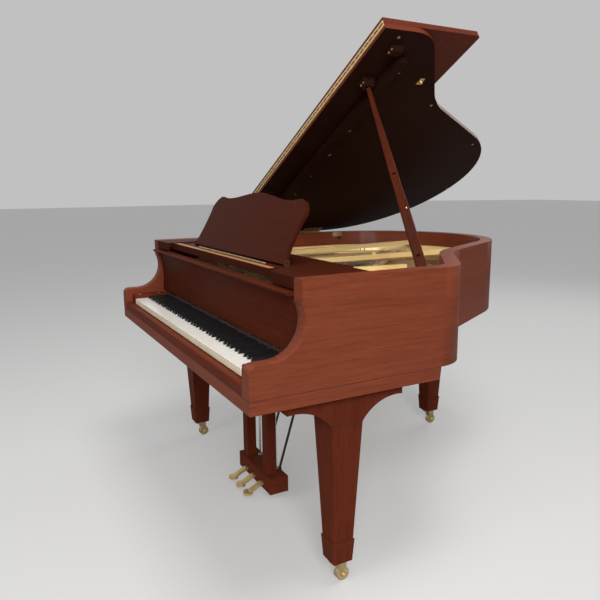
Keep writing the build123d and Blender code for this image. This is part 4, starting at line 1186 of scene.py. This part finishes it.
# collars where the pedal rods enter the box and the keybed
rodCollar = {
    "pitch": 75.0,
    "at": 360.0,
    "ring": [(-0.5, 5.8), (-0.5, 9.5), (2, 9.5), (3.2, 7.4), (3.2, 5.8)],
    "sides": 20,
}
collars = Piece()
boxTop = corners("pedal_box")[1].z
bedLow = corners("keybed")[0].z
for side in (-1, 0, 1):
    x = side * rodCollar["pitch"]
    for height, way in ((boxTop, up), (bedLow, down)):
        base = (x, rodCollar["at"], height)
        collars.turned(base, way, rodCollar["ring"], rodCollar["sides"], True)
collars.done("rodCollars", brass, "case")

# nuts on the caster axles, and a ring on each wheel
casterSet = {
    "nutOut": 15.8,
    "nut": [(0, 6.5), (3.4, 6.5), (4.2, 5.2), (4.2, 3.0), (5.6, 3.0), (6.0, 0)],
    "nutSides": 6,
    "ring": [(0, 14.0), (0, 17.0), (0.5, 16.6), (0.5, 14.4)],
    "ringSides": 24,
    "ringSink": 0.1,
}
for corner in ("bass", "treble", "tail"):
    low, high = corners(corner + "_caster_wheel")
    middle = (low + high) / 2
    nuts = Piece()
    rings = Piece()
    ringOut = high.x - middle.x - casterSet["ringSink"]
    for side in (-1, 1):
        way = Vector((side, 0, 0))
        nutBase = middle + way * casterSet["nutOut"]
        nuts.turned(nutBase, way, casterSet["nut"], casterSet["nutSides"])
        ringBase = middle + way * ringOut
        rings.turned(ringBase, way, casterSet["ring"], casterSet["ringSides"], True)
    nuts.done(corner + "AxleNuts", brass, corner + "_fork")
    rings.done(corner + "WheelRings", brass, corner + "_wheel")

# screws under the keybed
bedScrews = {"x": (-500.0, -250.0, 250.0, 500.0), "at": (40.0, 200.0, 560.0), "radius": 8.0}
screws = Piece()
for x in bedScrews["x"]:
    for at in bedScrews["at"]:
        screws.turned((x, at, bedLow), down, screwHead(bedScrews["radius"]))
screws.done("bedScrews", steel, "case")
print("lyre, caster and keybed pieces made")

# camera at the photograph's place
cameraPlace = {
    "place": (2107.0, -612.0, 1220.0),
    "heading": 61.85,
    "down": 10.634,
    "roll": -0.479,
    "focal": 603.23,
    "frame": 600.0,
    "sensor": 36.0,
    "reach": 50.0,
}


def placeCamera(view):
    heading = math.radians(view["heading"])
    tilt = math.radians(view["down"])
    roll = math.radians(view["roll"])
    level = Vector((-math.sin(heading), math.cos(heading), 0))
    ahead = level * math.cos(tilt) - Vector((0, 0, math.sin(tilt)))
    right = Vector((math.cos(heading), math.sin(heading), 0))
    above = right.cross(ahead)
    rightRolled = right * math.cos(roll) + above * math.sin(roll)
    aboveRolled = above * math.cos(roll) - right * math.sin(roll)
    lens = bpy.data.cameras.new("photoCamera")
    lens.sensor_width = view["sensor"]
    lens.lens = view["sensor"] * view["focal"] / view["frame"]
    lens.clip_end = view["reach"]
    made = bpy.data.objects.new("photoCamera", lens)
    turn = Matrix((rightRolled, aboveRolled, -ahead)).transposed().to_4x4()
    made.matrix_world = Matrix.Translation(caseFrame @ Vector(view["place"])) @ turn
    scene.collection.objects.link(made)
    scene.camera = made


placeCamera(cameraPlace)

# soft studio light, mostly from the treble side in front
lights = {
    "side": {"from": (4.4, -2.2, 3.2), "size": 2.0, "power": 205},
    "front": {"from": (1.4, -4.4, 2.9), "size": 2.2, "power": 50},
    "top": {"from": (1.2, -0.2, 4.8), "size": 1.8, "power": 105},
    "back": {"from": (-1.6, 4.2, 3.4), "size": 2.6, "power": 45},
}
lookAt = Vector((0, 0, 0.8))
for name, light in lights.items():
    lamp = bpy.data.lights.new(name + "Light", "AREA")
    lamp.size = light["size"]
    lamp.energy = light["power"]
    made = bpy.data.objects.new(name + "Light", lamp)
    made.location = light["from"]
    made.rotation_euler = (lookAt - made.location).to_track_quat("-Z", "Y").to_euler()
    scene.collection.objects.link(made)

# the backdrop is pale where it is seen, straight or in a reflection
studio = {"colour": (0.86, 0.86, 0.86, 1.0), "fill": 0.20, "seen": 0.62}
studioShader = Shader("studio", bpy.data.worlds, "Background")
strength = studio["fill"]
for ray in ("Is Camera Ray", "Is Glossy Ray", "Is Transmission Ray"):
    seen = studioShader.node("ShaderNodeLightPath", output=ray)
    strength = studioShader.node("ShaderNodeMix", None, {0: seen, 2: strength, 3: studio["seen"]})
scene.world = studioShader.dress(Color=studio["colour"], Strength=strength)

floorSet = {
    "half": 40.0,
    "drop": 0.0005,
    "colour": (0.42, 0.415, 0.41),
    "lift": 0.26,  # for camera rays alone
    "roughness": 0.8,
}
half = floorSet["half"]
floorCorners = ((-half, -half), (half, -half), (half, half), (-half, half))
floorMesh = bpy.data.meshes.new("floor")
floorMesh.from_pydata([(x, y, -floorSet["drop"]) for x, y in floorCorners], [], [(0, 1, 2, 3)])
floorPiece = bpy.data.objects.new("floor", floorMesh)
scene.collection.objects.link(floorPiece)
floorShader = Shader("paleFloor")
toCamera = floorShader.node("ShaderNodeLightPath", output="Is Camera Ray")
lift = (*(floorSet["lift"],) * 3, 1.0)
floorMesh.materials.append(
    floorShader.dress(
        Base_Color=(*floorSet["colour"], 1.0),
        Roughness=floorSet["roughness"],
        Emission_Color=floorShader.mix(toCamera, (0, 0, 0, 1), lift),
        Emission_Strength=1.0,
    )
)
print("camera, light and floor placed")
